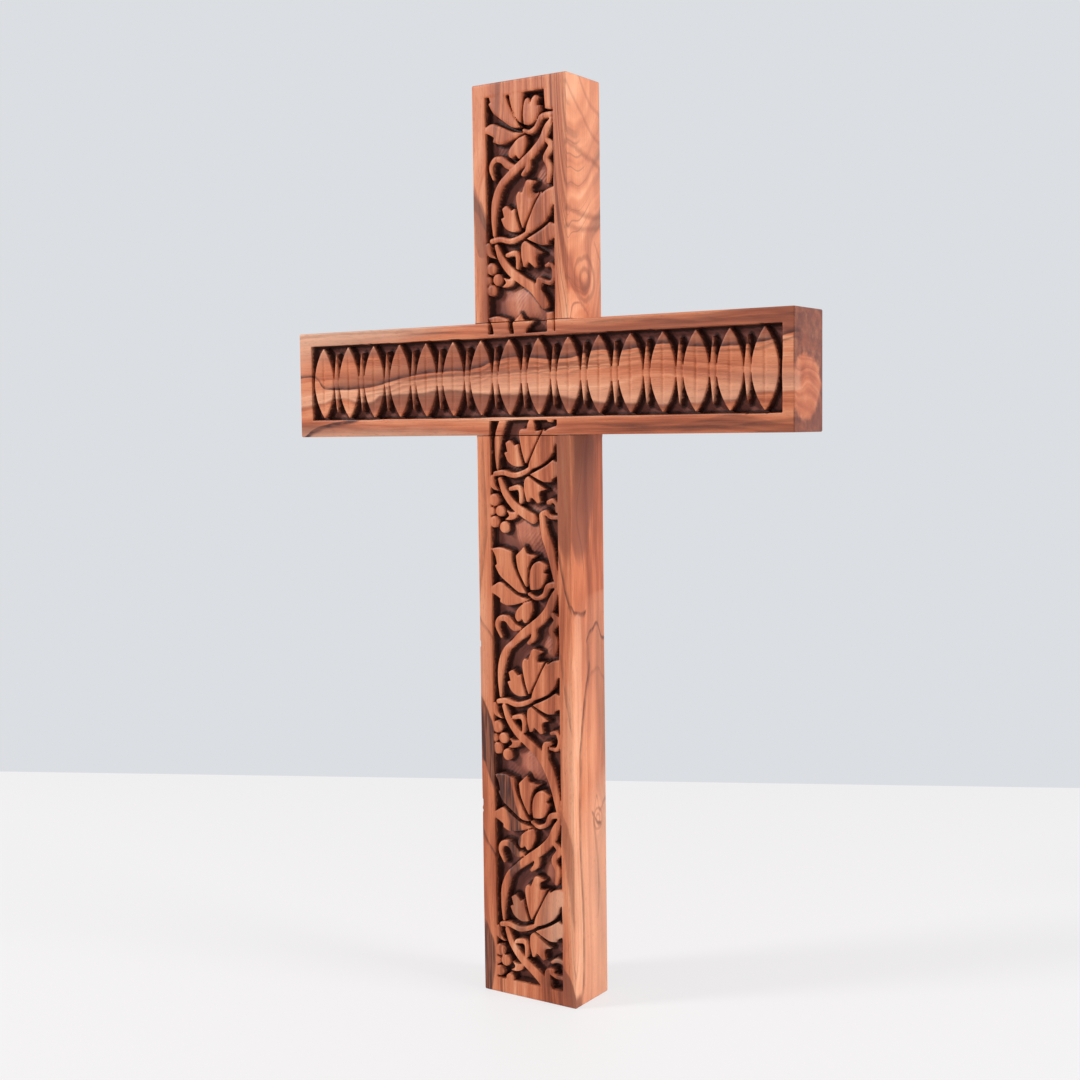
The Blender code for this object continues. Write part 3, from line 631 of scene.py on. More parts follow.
def upright_board():
    """The upright's surface: the board's grid, its front points carved and its housing cut to half depth."""
    border = np.linspace(-(BEAM_HALF_WIDTH - ARRIS), -PANEL_HALF_WIDTH - 0.5, 3)
    panel = stations([-PANEL_HALF_WIDTH - 0.31, PANEL_HALF_WIDTH + 0.31], [GRID])
    front_columns = np.concatenate([border, panel, -border[::-1]])
    shoulder_low, shoulder_high = CROSSBAR_LOW[2] - GLUE_GAP, CROSSBAR_HIGH[2] + GLUE_GAP
    along = np.concatenate([
        stations([UPRIGHT_LOW[2] + ARRIS, shoulder_low], [GRID]),
        stations([shoulder_low + HAIR, shoulder_high - HAIR], [4.0]),
        stations([shoulder_high, UPRIGHT_HIGH[2] - ARRIS], [GRID]),
    ])
    x, y, z = beam_grid(
        front_columns, BEAM_HALF_WIDTH, UPRIGHT_LOW[2], UPRIGHT_HIGH[2], along,
        lambda places: flush_between(
            worn(places, 41, UPRIGHT_CHIPS), places, CROSSBAR_LOW[2], CROSSBAR_HIGH[2],
        ),
    )
    front = slice(0, len(front_columns))
    panels = [((-PANEL_HALF_WIDTH, PANEL_FOOT), (PANEL_HALF_WIDTH, PANEL_TOP))]
    carved_x, carved_z, depth, edge = carve(x[:, front], z[:, front], panels, VINE, vine_ground, vine_wear)
    x[BODY, front] = carved_x[BODY]
    housed = (z > shoulder_low + HAIR / 2) & (z < shoulder_high - HAIR / 2)
    at_shoulder = (np.abs(z - shoulder_low) < GRID) | (np.abs(z - shoulder_high) < GRID)
    z[:, front] = np.where((housed | at_shoulder)[:, front], z[:, front], carved_z)
    hollow, wall_shade_share = sink(y, front, depth, edge)
    y = np.where(housed, np.maximum(y, FRONT + HOUSING), y)
    return board_mesh("carved_upright", x, y, z, hollow, wall_shade_share)


# Keyhole slot in the back, routed for the head of a screw: place, radii, travel, lip and depth.
KEYHOLE_Z = 268.0
KEYHOLE_HEAD = 4.6
KEYHOLE_NECK = 2.5
KEYHOLE_TRAVEL = 10.0
KEYHOLE_LIP = 3.0
KEYHOLE_DEPTH = 8.0


def prism_faces(count, first=0):
    """Faces of a closed prism: its sides, then its two ends. The near ring starts at the first point."""
    this, following = np.arange(count), (np.arange(count) + 1) % count
    sides = np.stack([this, following, following + count, this + count], axis=1) + first
    near, far = range(first, first + count), range(first + count, first + 2 * count)
    return [*sides.tolist(), list(near)[::-1], list(far)]


def router_prism(name, outline, near, far):
    """A closed prism: an outline in x and z, carried from one depth to another."""
    count = len(outline)
    rings = [np.column_stack([outline[:, 0], np.full(count, y), outline[:, 1]]) for y in (near, far)]
    mesh = bpy.data.meshes.new(name)
    mesh.from_pydata(np.vstack(rings) / METRE, [], prism_faces(count))
    return add_object(name, mesh)


def arc(radius, height, angles):
    """Points of a circle on the board's centre line, its middle so high, at the angles given."""
    return np.column_stack([radius * np.cos(angles), height + radius * np.sin(angles)])


def keyhole_outline():
    """The slot as seen from behind: a round entry whose top opens into a narrower, round-ended neck."""
    opening = math.asin(KEYHOLE_NECK / KEYHOLE_HEAD)
    angles = np.linspace(math.pi / 2 - opening, math.pi / 2 + opening - math.tau, 33)
    neck = arc(KEYHOLE_NECK, KEYHOLE_Z + KEYHOLE_TRAVEL, np.linspace(math.pi, 0, 13))
    return np.vstack([arc(KEYHOLE_HEAD, KEYHOLE_Z, angles), neck])


def way_outline():
    """The wider way behind the lip: the path of the router's head, a half circle at either end."""
    top = arc(KEYHOLE_HEAD, KEYHOLE_Z + KEYHOLE_TRAVEL, np.linspace(math.pi, 0, 17))
    return np.vstack([top, arc(KEYHOLE_HEAD, KEYHOLE_Z, np.linspace(0, -math.pi, 17))])


def cut_out(board, prism):
    """Cuts a prism out of a board, for good, and takes the prism away."""
    cutting = board.modifiers.new("router", "BOOLEAN")
    cutting.object = prism
    cutting.operation = "DIFFERENCE"
    cutting.solver = "EXACT"
    finished = bpy.data.meshes.new_from_object(board.evaluated_get(bpy.context.evaluated_depsgraph_get()))
    board.modifiers.clear()
    board.data = finished
    bpy.data.objects.remove(prism)


carved_upright = upright_board()
cut_out(carved_upright, router_prism("keyhole", keyhole_outline(), BACK - KEYHOLE_DEPTH, BACK + 2.0))
way_floor = BACK - KEYHOLE_DEPTH + 0.02
cut_out(carved_upright, router_prism("keyhole_way", way_outline(), way_floor, BACK - KEYHOLE_LIP))
close_up(carved_upright)


def seen_as(red, green, blue):
    """A colour as it shows on a screen, 0 to 255, in the linear values that a shader takes."""
    parts = np.array([red, green, blue]) / 255
    linear = np.where(parts <= 0.04045, parts / 12.92, ((parts + 0.055) / 1.055) ** 2.4)
    return (*linear.tolist(), 1.0)


# The wood's figure, from its dark lines to its palest wood, and the colours that lie over it.
FIGURE = [
    (0.16, seen_as(120, 58, 34)), (0.34, seen_as(174, 92, 60)), (0.50, seen_as(206, 120, 82)),
    (0.66, seen_as(224, 145, 106)), (0.82, seen_as(244, 180, 144)),
]
RING_LINE = seen_as(118, 56, 36)
PALE_WOOD = seen_as(238, 186, 156)
SHADED_WOOD = seen_as(126, 66, 49)
HEARTWOOD = seen_as(58, 28, 27)
DARK_STREAK = seen_as(74, 34, 27)
PORE = seen_as(120, 62, 42)
LOWERED_WOOD = seen_as(176, 112, 98)
SUNK_WOOD = seen_as(112, 62, 57)
# The near-black of the painted shade on the carving's walls and on the ground at their feet.
WALL_SHADE_COLOUR = seen_as(54, 25, 20)


def add_node(tree, kind, inputs, **settings):
    """One shader node, with its settings, and its inputs as values or as links."""
    node = tree.nodes.new("ShaderNode" + kind)
    for setting, value in settings.items():
        setattr(node, setting, value)
    for socket, value in inputs.items():
        if isinstance(value, bpy.types.NodeSocket):
            tree.links.new(value, node.inputs[socket])
        else:
            node.inputs[socket].default_value = value
    return node


class OliveWood:
    """The shader of one board. Places are in millimetres, taken from object coordinates: along the grain,
    across it, and deep, from the front to the back."""

    def __init__(self, name, grain, crosswise):
        self.material = bpy.data.materials.new(name)
        self.material.use_nodes = True
        self.tree = self.material.node_tree
        self.shader = self.tree.nodes["Principled BSDF"]
        position = self.add("TexCoord", {}).outputs["Object"]
        in_mm = self.add("VectorMath", {0: position, 1: (METRE, METRE, METRE)}, operation="MULTIPLY")
        parts = self.add("SeparateXYZ", {0: in_mm.outputs[0]}).outputs
        self.along, self.across, self.deep = parts[grain], parts[crosswise], parts["Y"]

    def add(self, kind, inputs, **settings):
        """One node of this board's shader."""
        return add_node(self.tree, kind, inputs, **settings)

    def calc(self, operation, *values):
        """The result of one sum on values or sockets."""
        return self.add("Math", dict(enumerate(values)), operation=operation).outputs[0]

    def ease(self, value, low, high, start=0.0, end=1.0):
        """A smooth change from start, where the value is low or less, to end, where it is high or more."""
        inputs = {"Value": value, "From Min": low, "From Max": high, "To Min": start, "To Max": end}
        return self.add("MapRange", inputs, interpolation_type="SMOOTHSTEP").outputs["Result"]

    def noise(self, width, length, detail=2.0, shift=0.0):
        """Noise whose grains are about so wide across the grain and so long along it."""
        inputs = {
            0: self.calc("MULTIPLY_ADD", self.across, 1 / width, shift),
            1: self.calc("DIVIDE", self.deep, width),
            2: self.calc("DIVIDE", self.along, length),
        }
        place = self.add("CombineXYZ", inputs).outputs[0]
        return self.add("TexNoise", {"Vector": place, "Scale": 1.0, "Detail": detail})

    def layers(self, distance, spacing, shift):
        """Noise in one direction only, along a distance, like the growth of good and poor years."""
        place = self.calc("MULTIPLY_ADD", distance, 1 / spacing, shift)
        inputs = {"W": place, "Scale": 1.0, "Detail": 2.0, "Roughness": 0.6}
        return self.add("TexNoise", inputs, noise_dimensions="1D").outputs[0]

    def curve(self, place, values):
        """A smooth curve through pairs of a place, 0 to 1, and a value."""
        low = min(value for _, value in values) - 0.5
        span = max(value for _, value in values) + 0.5 - low
        node = self.add("FloatCurve", {"Value": place})
        points = node.mapping.curves[0].points
        for index, (at, value) in enumerate(values):
            if index < 2:
                points[index].location = (at, (value - low) / span)
            else:
                points.new(at, (value - low) / span)
        node.mapping.update()
        return self.calc("MULTIPLY_ADD", node.outputs[0], span, low)

    def streak(self, run, offset, points, fades, edge, fall):
        """1 on a streak's line and 0 beside it. It rises over its sharp edge and falls off on the other side,
        upwards for 1 and downwards for -1, between two shares of its width. The line passes through points
        given by their place in the run, their offset from the middle of the board, and the width, which
        ends a streak where it comes down to 0."""
        start, end = points[0][0], points[-1][0]
        place = self.calc("DIVIDE", self.calc("SUBTRACT", run, start), end - start)
        line, width = (
            self.curve(place, [((point[0] - start) / (end - start), point[which]) for point in points])
            for which in (1, 2)
        )
        away = self.calc("MULTIPLY", self.calc("SUBTRACT", offset, line), fades)
        rise = self.ease(away, -edge, 0.0)
        fade = self.ease(self.calc("DIVIDE", away, self.calc("MAXIMUM", width, 0.05)), *fall, 1.0, 0.0)
        strength = self.ease(width, 0.0, 0.3 + 0.5 * max(point[2] for point in points))
        return self.calc("MULTIPLY", self.calc("MULTIPLY", rise, fade), strength)

    def strongest(self, masks):
        """The highest of several masks at each place."""
        total = masks[0]
        for mask in masks[1:]:
            total = self.calc("MAXIMUM", total, mask)
        return total

    def eye(self, middle, reach, height):
        """A swelling of the growth rings round a knot: they close round it, as contour lines do."""
        squares = [
            self.calc("POWER", self.calc("DIVIDE", self.calc("SUBTRACT", part, at), size), 2.0)
            for part, at, size in zip((self.across, self.deep, self.along), middle, reach)
        ]
        total = self.calc("ADD", self.calc("ADD", squares[0], squares[1]), squares[2])
        return self.calc("MULTIPLY", self.calc("EXPONENT", self.calc("MULTIPLY", total, -1.0)), height)

    def oval(self, directions, middle, half, wander):
        """How far a place is from the middle of an oval: 1 on the oval itself, whose edge is uneven."""
        squares = [
            self.calc("POWER", self.calc("DIVIDE", self.calc("SUBTRACT", getattr(self, name), at), size), 2.0)
            for name, at, size in zip(directions, middle, half)
        ]
        reach = self.calc("SQRT", self.calc("ADD", *squares))
        return self.calc("MULTIPLY_ADD", wander, 0.4, self.calc("SUBTRACT", reach, 0.2))

    def within(self, gates, strength):
        """A strength that is taken back where a gate closes: a direction, the two places, and the values."""
        for direction, low, high, values in gates:
            opening = self.ease(getattr(self, direction), low, high, *values)
            strength = self.calc("MULTIPLY", opening, strength)
        return strength

    def mix(self, share, under, over):
        """One colour laid over another, by its share."""
        return self.add("Mix", {0: share, 6: under, 7: over}, data_type="RGBA").outputs[2]

    def finish(self, pith, eyes, heart_gate, streaks, hearts, shades, pale_zones):
        """Joins the figure, the placed streaks and shades, the painted shade on the carving's walls and at
        their feet, the gloss and the pores.
        """
        warp = self.add("SeparateXYZ", {0: self.noise(26.0, 105.0, 2.0).outputs["Color"]}).outputs
        off_across = self.calc("MULTIPLY_ADD", warp[0], 15.0, self.calc("SUBTRACT", self.across, pith[0]))
        off_deep = self.calc("MULTIPLY_ADD", warp[1], 15.0, self.calc("SUBTRACT", self.deep, pith[1]))
        rings = self.calc("SQRT", self.calc(
            "ADD", self.calc("POWER", off_across, 2.0), self.calc("POWER", off_deep, 2.0)
        ))
        for middle, reach, height in eyes:
            rings = self.calc("ADD", rings, self.eye(middle, reach, height))
        years = self.layers(rings, 2.6, 0.0)
        decades = self.layers(rings, 9.0, 40.0)
        fibre = self.noise(0.32, 11.0, 3.0).outputs[0]
        cloud = self.noise(13.0, 48.0, 2.0, 7.0).outputs[0]
        tone = -0.745
        for layer, weight in ((years, 0.56), (decades, 0.80), (fibre, 0.34), (cloud, 0.75)):
            tone = self.calc("MULTIPLY_ADD", layer, weight, tone)
        ramp = self.add("ValToRGB", {0: tone})
        stops = ramp.color_ramp.elements
        for index, (at, colour) in enumerate(FIGURE):
            stop = stops[index] if index < 2 else stops.new(at)
            stop.position = at
            stop.color = colour
        colour = ramp.outputs[0]

        line = self.calc("ABSOLUTE", self.calc("SUBTRACT", self.layers(rings, 6.5, 80.0), 0.5))
        line = self.ease(line, 0.004, 0.022, 1.0, 0.0)
        gate = self.ease(self.noise(20.0, 70.0, 1.0, 21.0).outputs[0], heart_gate, heart_gate + 0.09)
        colour = self.mix(self.calc("MULTIPLY", self.calc("MULTIPLY", line, gate), 0.5), colour, RING_LINE)
        wander = self.noise(3.0, 9.0, 3.0, 33.0).outputs[0]
        striped = self.ease(self.noise(0.7, 14.0, 2.0, 81.0).outputs[0], 0.36, 0.62, 0.62, 1.0)
        broken = self.ease(self.noise(1.4, 5.0, 2.0, 61.0).outputs[0], 0.36, 0.60, 0.66, 1.0)
        placed = [
            (pale_zones, 1.0, PALE_WOOD), (shades, 1.0, SHADED_WOOD), (hearts, striped, HEARTWOOD),
            (streaks, broken, DARK_STREAK),
        ]
        for masks, evenness, over in placed:
            share = self.strongest([mask(self, wander) for mask in masks])
            colour = self.mix(self.calc("MULTIPLY", share, evenness), colour, over)

        pore = self.ease(self.noise(0.16, 1.9, 1.0, 51.0).outputs[0], 0.63, 0.72)
        colour = self.mix(self.calc("MULTIPLY", pore, 0.35), colour, PORE)

        hollow = self.add("Attribute", {}, attribute_name="hollow").outputs["Fac"]
        wall_shade_share = self.add("Attribute", {}, attribute_name="wall_shade_share").outputs["Fac"]
        lowered = self.ease(hollow, 0.12, 0.50)
        colour = self.mix(self.calc("MULTIPLY", lowered, 0.50), colour, LOWERED_WOOD)
        sunk = self.ease(hollow, 0.58, 1.06)
        colour = self.mix(self.calc("MULTIPLY", sunk, 0.84), colour, SUNK_WOOD)
        # Painted shade: the walls and the ground beside them go near black, as the narrow hollows would be in
        # shade.
        patchy = self.ease(self.noise(1.1, 1.6, 2.0, 71.0).outputs[0], 0.30, 0.62, -0.16, 0.10)
        wall_shade_mix = self.ease(self.calc("ADD", wall_shade_share, patchy), 0.02, 0.62)
        wall_shade_mix = self.calc("MULTIPLY", wall_shade_mix, self.ease(hollow, 0.06, 0.30))
        colour = self.mix(self.calc("MULTIPLY", wall_shade_mix, 0.92), colour, WALL_SHADE_COLOUR)
        self.tree.links.new(colour, self.shader.inputs["Base Color"])

        gloss = self.calc("MULTIPLY_ADD", fibre, 0.22, 0.34)
        gloss = self.calc("MULTIPLY_ADD", sunk, 0.22, gloss)
        self.tree.links.new(gloss, self.shader.inputs["Roughness"])
        relief = self.calc("MULTIPLY_ADD", pore, -0.8, self.calc("MULTIPLY_ADD", fibre, 0.6, years))
        bump = self.add("Bump", {"Height": relief, "Strength": 0.30, "Distance": 0.00018})
        self.tree.links.new(bump.outputs[0], self.shader.inputs["Normal"])
        self.shader.inputs["Specular IOR Level"].default_value = 0.32
        return self.material


# Where a streak is seen: a direction of the board, two places on it, and how strong it is at each.
AT_FRONT = [("deep", FRONT + 0.6 * GROUND, FRONT + 1.6 * GROUND, (1.0, 0.0))]
AT_RIGHT_BORDER = [*AT_FRONT, ("across", BEAM_HALF_WIDTH - 0.5, BEAM_HALF_WIDTH, (1.0, 0.2))]
AT_RIGHT_SIDE = [("across", BEAM_HALF_WIDTH - 2.0, BEAM_HALF_WIDTH - 0.5, (0.0, 1.0))]

# The shares of its width between which a streak falls off: from its edge on, or only near its far side.
FADING = (0.0, 1.5)
SOLID = (0.8, 1.15)


def streaks_on(gates, run, offset, usual_edge=0.5, usual_sway=1.2):
    """A kind of streak: seen where its gates are open, running along one direction of the board and offset
    in another."""
    def streak(strength, points, fades=1, edge=usual_edge, sway=usual_sway, fall=FADING):
        """One streak of this kind, as a mask whose line sways with the grain."""
        def mask(wood, wander):
            centred = wood.calc("SUBTRACT", getattr(wood, offset), sway / 2)
            swayed = wood.calc("MULTIPLY_ADD", wander, sway, centred)
            line = wood.streak(getattr(wood, run), swayed, points, fades, edge, fall)
            return wood.calc("MULTIPLY", line, wood.within(gates, strength))
        return mask
    return streak


# A streak follows the grain, and an arch crosses it. One on the right border ends at the arris.
front_streak = streaks_on(AT_FRONT, "along", "across")
border_streak = streaks_on(AT_RIGHT_BORDER, "along", "across")
front_arch = streaks_on(AT_FRONT, "across", "along")
side_streak = streaks_on(AT_RIGHT_SIDE, "along", "deep")
side_arch = streaks_on(AT_RIGHT_SIDE, "deep", "along", 0.8, 1.4)


def side_knot(strength, middle, half):
    """The dark rings of a knot on the right side, whose middle and half sizes are given for the outer one."""
    def mask(wood, wander):
        reach = wood.oval(("deep", "along"), middle, half, wander)
        spacing = 0.55
        turned = wood.calc("MULTIPLY_ADD", reach, math.tau / spacing, -math.tau / spacing)
        rings = wood.ease(wood.calc("COSINE", turned), -0.6, 1.0)
        ends = wood.ease(reach, 1.05, 1.4, 1.0, 0.0)
        return wood.calc("MULTIPLY", wood.calc("MULTIPLY", rings, ends), wood.within(AT_RIGHT_SIDE, strength))
    return mask


# Each streak: strength, points of its line (place in its run, offset, width), the side that it fades to,
# the width of its sharp edge, its sway and its fall. An eye: middle, reach and height.
upright_wood = OliveWood("upright_olive_wood", "Z", "X").finish(
    pith=(-46.0, 38.0),
    eyes=[
        ((18.3, 0.5, 237.0), (4.5, 5.0, 8.5), 5.0),
        ((18.3, 4.0, 300.0), (6.0, 30.0, 46.0), 26.0),
        ((16.0, -6.0, 238.0), (3.0, 3.0, 6.0), 2.5),
        ((-15.0, -10.0, 262.0), (6.0, 6.0, 14.0), 5.0),
        ((18.3, 6.0, 61.0), (4.0, 3.5, 7.0), 3.0),
        ((-8.0, 10.0, 90.0), (9.0, 8.0, 16.0), 7.0),
    ],
    heart_gate=0.53,
    streaks=[
        front_streak(0.7, [(44, -12, 0), (48.5, -14, 0.9), (51, -16, 1.1), (54, -17.3, 1.0),
                           (59, -19, 0)], -1),
        front_streak(0.6, [(70, -13.2, 0), (73, -14.6, 0.9), (78, -16.8, 0.9), (81, -18.4, 0)]),
        front_streak(0.7, [(86, -12.4, 0), (90, -13.6, 1.0), (95, -15.6, 1.0), (101, -18.4, 0)], -1),
        front_streak(0.5, [(116, -11, 0), (120.5, -13.2, 1.0), (124, -16.2, 1.1), (129, -19.0, 0)], -1),
        front_streak(0.4, [(130, -18, 0), (140, -17, 1.2), (150, -15.5, 1.6), (158, -14.5, 1.6),
                           (165, -14.8, 1.6), (175, -15.5, 1.4), (188, -16, 0)], -1),
        border_streak(0.8, [(126, 19.0, 0), (129, 18.2, 0.8), (132, 17.1, 0.8), (140, 14.9, 0.8),
                            (146, 13.6, 0.8), (152, 12.6, 0)], 1, 0.4, 0.8),
        border_streak(0.45, [(88, 18.4, 0), (97, 16.5, 1.0), (105, 15, 1.2), (112, 14.2, 1.0),
                             (117, 13.6, 0)]),
        side_streak(0.6, [(3, -5.6, 0), (10, -5.2, 1.0), (25, -5.0, 1.2), (38, -5.5, 1.2), (50, -6.4, 1.2),
                          (60, -6.7, 1.2), (70, -6.5, 1.2), (79, -6.0, 1.2), (84, -5.8, 0)], 1, 0.7, 0.8),
        side_streak(0.8, [(76, -6.2, 0), (83, -5.9, 0.9), (90, -5.0, 1.0), (95, -4.1, 1.1), (100, -3.1, 1.2),
                          (105, -2.0, 1.3), (108, -1.0, 1.3), (111, -0.2, 1.0), (114, 0.2, 0)], 1, 0.8, 0.8),
        side_streak(0.3, [(108, -0.8, 0), (112, -0.6, 0.8), (118, -0.8, 0.8), (121, -1.0, 0)], 1, 0.7, 0.6),
        side_streak(0.4, [(26, 4.2, 0), (33, 4.6, 0.8), (40, 4.6, 0.9), (46, 4.2, 0.9), (52, 3.2, 0.9),
                          (57, 2.4, 1.0), (61, 2.0, 0.9), (63, 2.0, 0)], 1, 0.7, 0.6),
        side_arch(0.8, [(-1.6, 119.4, 0), (-0.8, 121.0, 1.3), (0.6, 122.7, 1.1), (2.6, 123.7, 1.1),
                        (4.8, 125.2, 1.1), (6.0, 124.2, 1.0), (7.2, 121.4, 0.9), (8.6, 119.9, 0.9),
                        (10.5, 120.0, 0.8)], -1, 0.9, 1.0),
        side_arch(0.85, [(-10.6, 133.5, 1.0), (-9.6, 131.0, 1.2), (-8.4, 129.8, 1.1), (-6.6, 129.4, 0.8),
                         (-4.8, 129.0, 1.0), (-3.2, 129.0, 1.4), (-2.0, 129.2, 0.9), (-1.2, 130.0, 0)],
                  -1, 0.9, 1.2),
        side_arch(0.3, [(-0.8, 106.4, 0), (0.6, 108.6, 1.0), (3.0, 109.6, 1.2), (5.2, 110.4, 1.2),
                        (7.4, 108.0, 1.0), (10.5, 105.4, 0.9)], -1, 1.0, 1.2),
        side_arch(0.7, [(0.8, 63.0, 0), (1.8, 62.4, 1.3), (2.6, 61.2, 0.8), (3.6, 59.8, 0.8),
                        (4.8, 58.8, 1.5), (5.8, 58.4, 1.3), (6.9, 58.2, 0)], -1, 0.9, 0.6),
        side_arch(0.42, [(2.3, 62.0, 0), (3.3, 66.2, 0.9), (4.0, 67.8, 0.9), (4.7, 66.2, 0.9),
                         (5.8, 62.8, 1.1), (7.0, 63.4, 1.2), (8.4, 65.4, 1.0), (10.5, 66.4, 1.0)],
                  -1, 0.9, 0.6),
    ],
    hearts=[
        front_streak(0.96, [(38, -4.0, 0), (43, -3.8, 4.0), (50, -3.4, 4.6), (55, -2.9, 4.4), (61, -3.7, 4.4),
                            (67, -5.6, 6.0), (73, -7.0, 7.8), (77.5, -8.4, 8.0), (79.5, -12.6, 5.4),
                            (84, -13.2, 5.2), (89.6, -13.6, 4.8), (95, -15.6, 3.2), (101, -18.4, 0)],
                     -1, 0.7, 1.4, SOLID),
        front_streak(0.9, [(-1, -16.0, 3.0), (5, -14.8, 4.4), (10, -14.2, 5.0), (15.5, -14.2, 5.0),
                           (20.9, -16.2, 3.0), (25.5, -18.4, 0)], -1, 0.7, 1.2, SOLID),
        front_arch(0.6, [(-20, 262.6, 3.6), (-16.6, 259.4, 4.2), (-13.6, 253.6, 3.4), (-13.0, 252.6, 0)],
                   1, 1.4, 1.6, SOLID),
    ],
    shades=[
        front_streak(0.5, [(218, -13.0, 0), (224, -13.0, 3.0), (234, -13.0, 3.4), (246, -13.0, 4.6),
                           (250, -13.0, 0)], -1, 1.0, 2.0),
        front_streak(0.66, [(244, -13.3, 0), (249.5, -13.3, 4.6), (254, -13.2, 5.0), (260, -14.5, 4.0),
                            (264, -16.5, 3.0), (269, -18.4, 0)], -1, 1.0, 2.4, SOLID),
        front_streak(0.6, [(20, -1.6, 0), (26, -1.6, 5.2), (33, -2.0, 5.6), (40, -3.0, 5.0), (45, -3.6, 0)],
                     -1, 1.4, 2.0, SOLID),
        border_streak(0.66, [(143, 18.0, 0), (150, 15.0, 3.0), (158, 13.2, 6.0), (186, 12.8, 6.0),
                             (190, 12.8, 0)], 1, 2.0, 2.0, SOLID),
        border_streak(0.2, [(224, 13, 0), (250, 13.2, 4.0), (275, 13.2, 5.0), (301, 13.2, 5.0)], 1, 2.0, 2.4),
        front_streak(0.8, [(-1, 18.9, 6.0), (1, 18.6, 6.0), (9.5, 15.9, 4.6), (13.7, 13.2, 3.0),
                           (17, 12.4, 0)], -1, 0.7, 1.2, (0.3, 1.5)),
        border_streak(0.5, [(24, 18.6, 0), (32, 17.6, 3.0), (40, 16.4, 4.0), (50, 14.9, 4.0), (58, 13.4, 3.0),
                            (66, 12.6, 0)], 1, 1.2, 1.6, SOLID),
        # Darker wood on the right side under the crossbar: partly the wood's figure, partly painted shadow of
        # the crossbar's arm.
        side_streak(0.72, [(143, -5.0, 0), (150, -3.0, 6.0), (158, 0.2, 11.0), (167, 2.6, 12.0),
                           (178, 3.4, 12.0), (190, 3.4, 12.0), (194, 3.4, 0)], -1, 3.0, 3.0, SOLID),
        side_arch(0.45, [(-10.6, 257.6, 1.2), (-4, 257.0, 1.3), (3, 256.2, 1.3), (10.5, 257.4, 1.0)],
                  1, 1.4, 1.8),
        side_arch(0.42, [(-10.6, 252.6, 1.1), (-2, 252.0, 1.3), (5, 252.8, 1.2), (10.5, 254.0, 1.0)],
                  -1, 1.4, 1.8),
        side_arch(0.45, [(-10.6, 278.4, 1.3), (-5, 277, 1.4), (0, 275.4, 1.4), (6, 273.8, 1.3),
                         (10.5, 271.6, 1.1)], 1, 1.6, 1.8),
        side_arch(0.32, [(-10.6, 297.5, 1.1), (-5, 291.5, 1.2), (-1, 288, 1.2), (3, 284, 1.1),
                         (10.5, 280, 1.0)], 1, 1.4, 1.6),
        side_arch(0.32, [(-3.5, 301, 1.1), (0, 296, 1.2), (4, 292, 1.1), (10.5, 289, 1.0)], 1, 1.4, 1.6),
        side_arch(0.36, [(-10.6, 237, 1.0), (-6, 232, 1.2), (0, 226.5, 1.0), (2, 225, 0)], 1, 1.2, 1.6),
        side_arch(0.36, [(5.4, 249, 0), (7.2, 246, 1.0), (10.5, 240.6, 1.0)], 1, 1.2, 1.2),
        side_knot(0.42, (-0.2, 236.4), (6.0, 6.8)),
        side_knot(0.35, (4.6, 60.0), (2.6, 3.6)),
    ],
    pale_zones=[
        side_streak(0.24, [(212, 12, 0), (232, 11.5, 14.0), (252, 11.5, 26.0), (301, 11.5, 36.0)],
                    -1, 1.0, 6.0),
        side_streak(0.5, [(-1, 12, 30.0), (36, 12, 28.0), (60, 12, 18.0), (88, 12, 0)], -1, 1.0, 2.0),
        side_streak(0.2, [(60, 12, 0), (90, 12, 20), (122, 12, 20), (136, 12, 0)], -1, 1.0, 2.0),
        side_streak(0.3, [(80, -6.4, 0), (90, -6.0, 3.2), (104, -5.2, 4.0), (118, -5.0, 4.0),
                          (127, -5.4, 3.2), (129.5, -6.0, 0)], -1, 1.6, 1.2, SOLID),
        border_streak(0.3, [(56, 18.5, 0), (70, 18.5, 4.0), (90, 18.5, 4.0), (110, 18.5, 0)], -1, 1.0, 2.0),
        front_streak(0.55, [(12, 13.0, 0), (18, 12.6, 6), (26, 13.2, 8), (33, 13.2, 7), (38.5, 13, 0)],
                     -1, 1.0, 2.0),
        front_streak(0.3, [(98, -18.6, 0), (108, -18.6, 4.0), (122, -18.6, 4.0), (140, -18.5, 0)],
                     1, 1.0, 2.0),
    ],
)
carved_upright.data.materials.clear()
carved_upright.data.materials.append(upright_wood)
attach(carved_upright, "root")
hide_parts("upright")

# Crossbar
# The second board, grain across. It is housed over the upright and glued, and its front carries a
# band of leaves and darts between plain borders. The vine runs on through the borders at the crossing.

BAND_LEFT = -90.0
BAND_RIGHT = 91.5
BAND_BOTTOM = 192.45
BAND_TOP = 218.65
BAND_MIDDLE = (BAND_BOTTOM + BAND_TOP) / 2
RIDGE = 0.8
BAND_LEAVES = 16
LEAF_PITCH = (BAND_RIGHT - BAND_LEFT) / BAND_LEAVES
LEAF_HEIGHT = BAND_TOP - BAND_BOTTOM - 1.8
DART_HEIGHT = LEAF_HEIGHT - 4.2
BAND_LEAF_WIDTH = 8.6
BAND_DART_WIDTH = 2.4


def oval_outline(width, height):
    """A leaf with a point at either end: the half width is the cosine of the height, to the power 0.8."""
    up = np.linspace(-1, 1, 15)
    half = width / 2 * np.cos(up * math.pi / 2).clip(0) ** 0.8
    right = np.stack([half, up * height / 2], axis=1)
    left = np.stack([-half[::-1], up[::-1] * height / 2], axis=1)
    return np.vstack([right, left[1:-1]])


def dart_outline(width, height):
    """A dart: a diamond with a point at either end and at its two sides."""
    return np.array([(0, -height / 2), (width / 2, 0), (0, height / 2), (-width / 2, 0)])


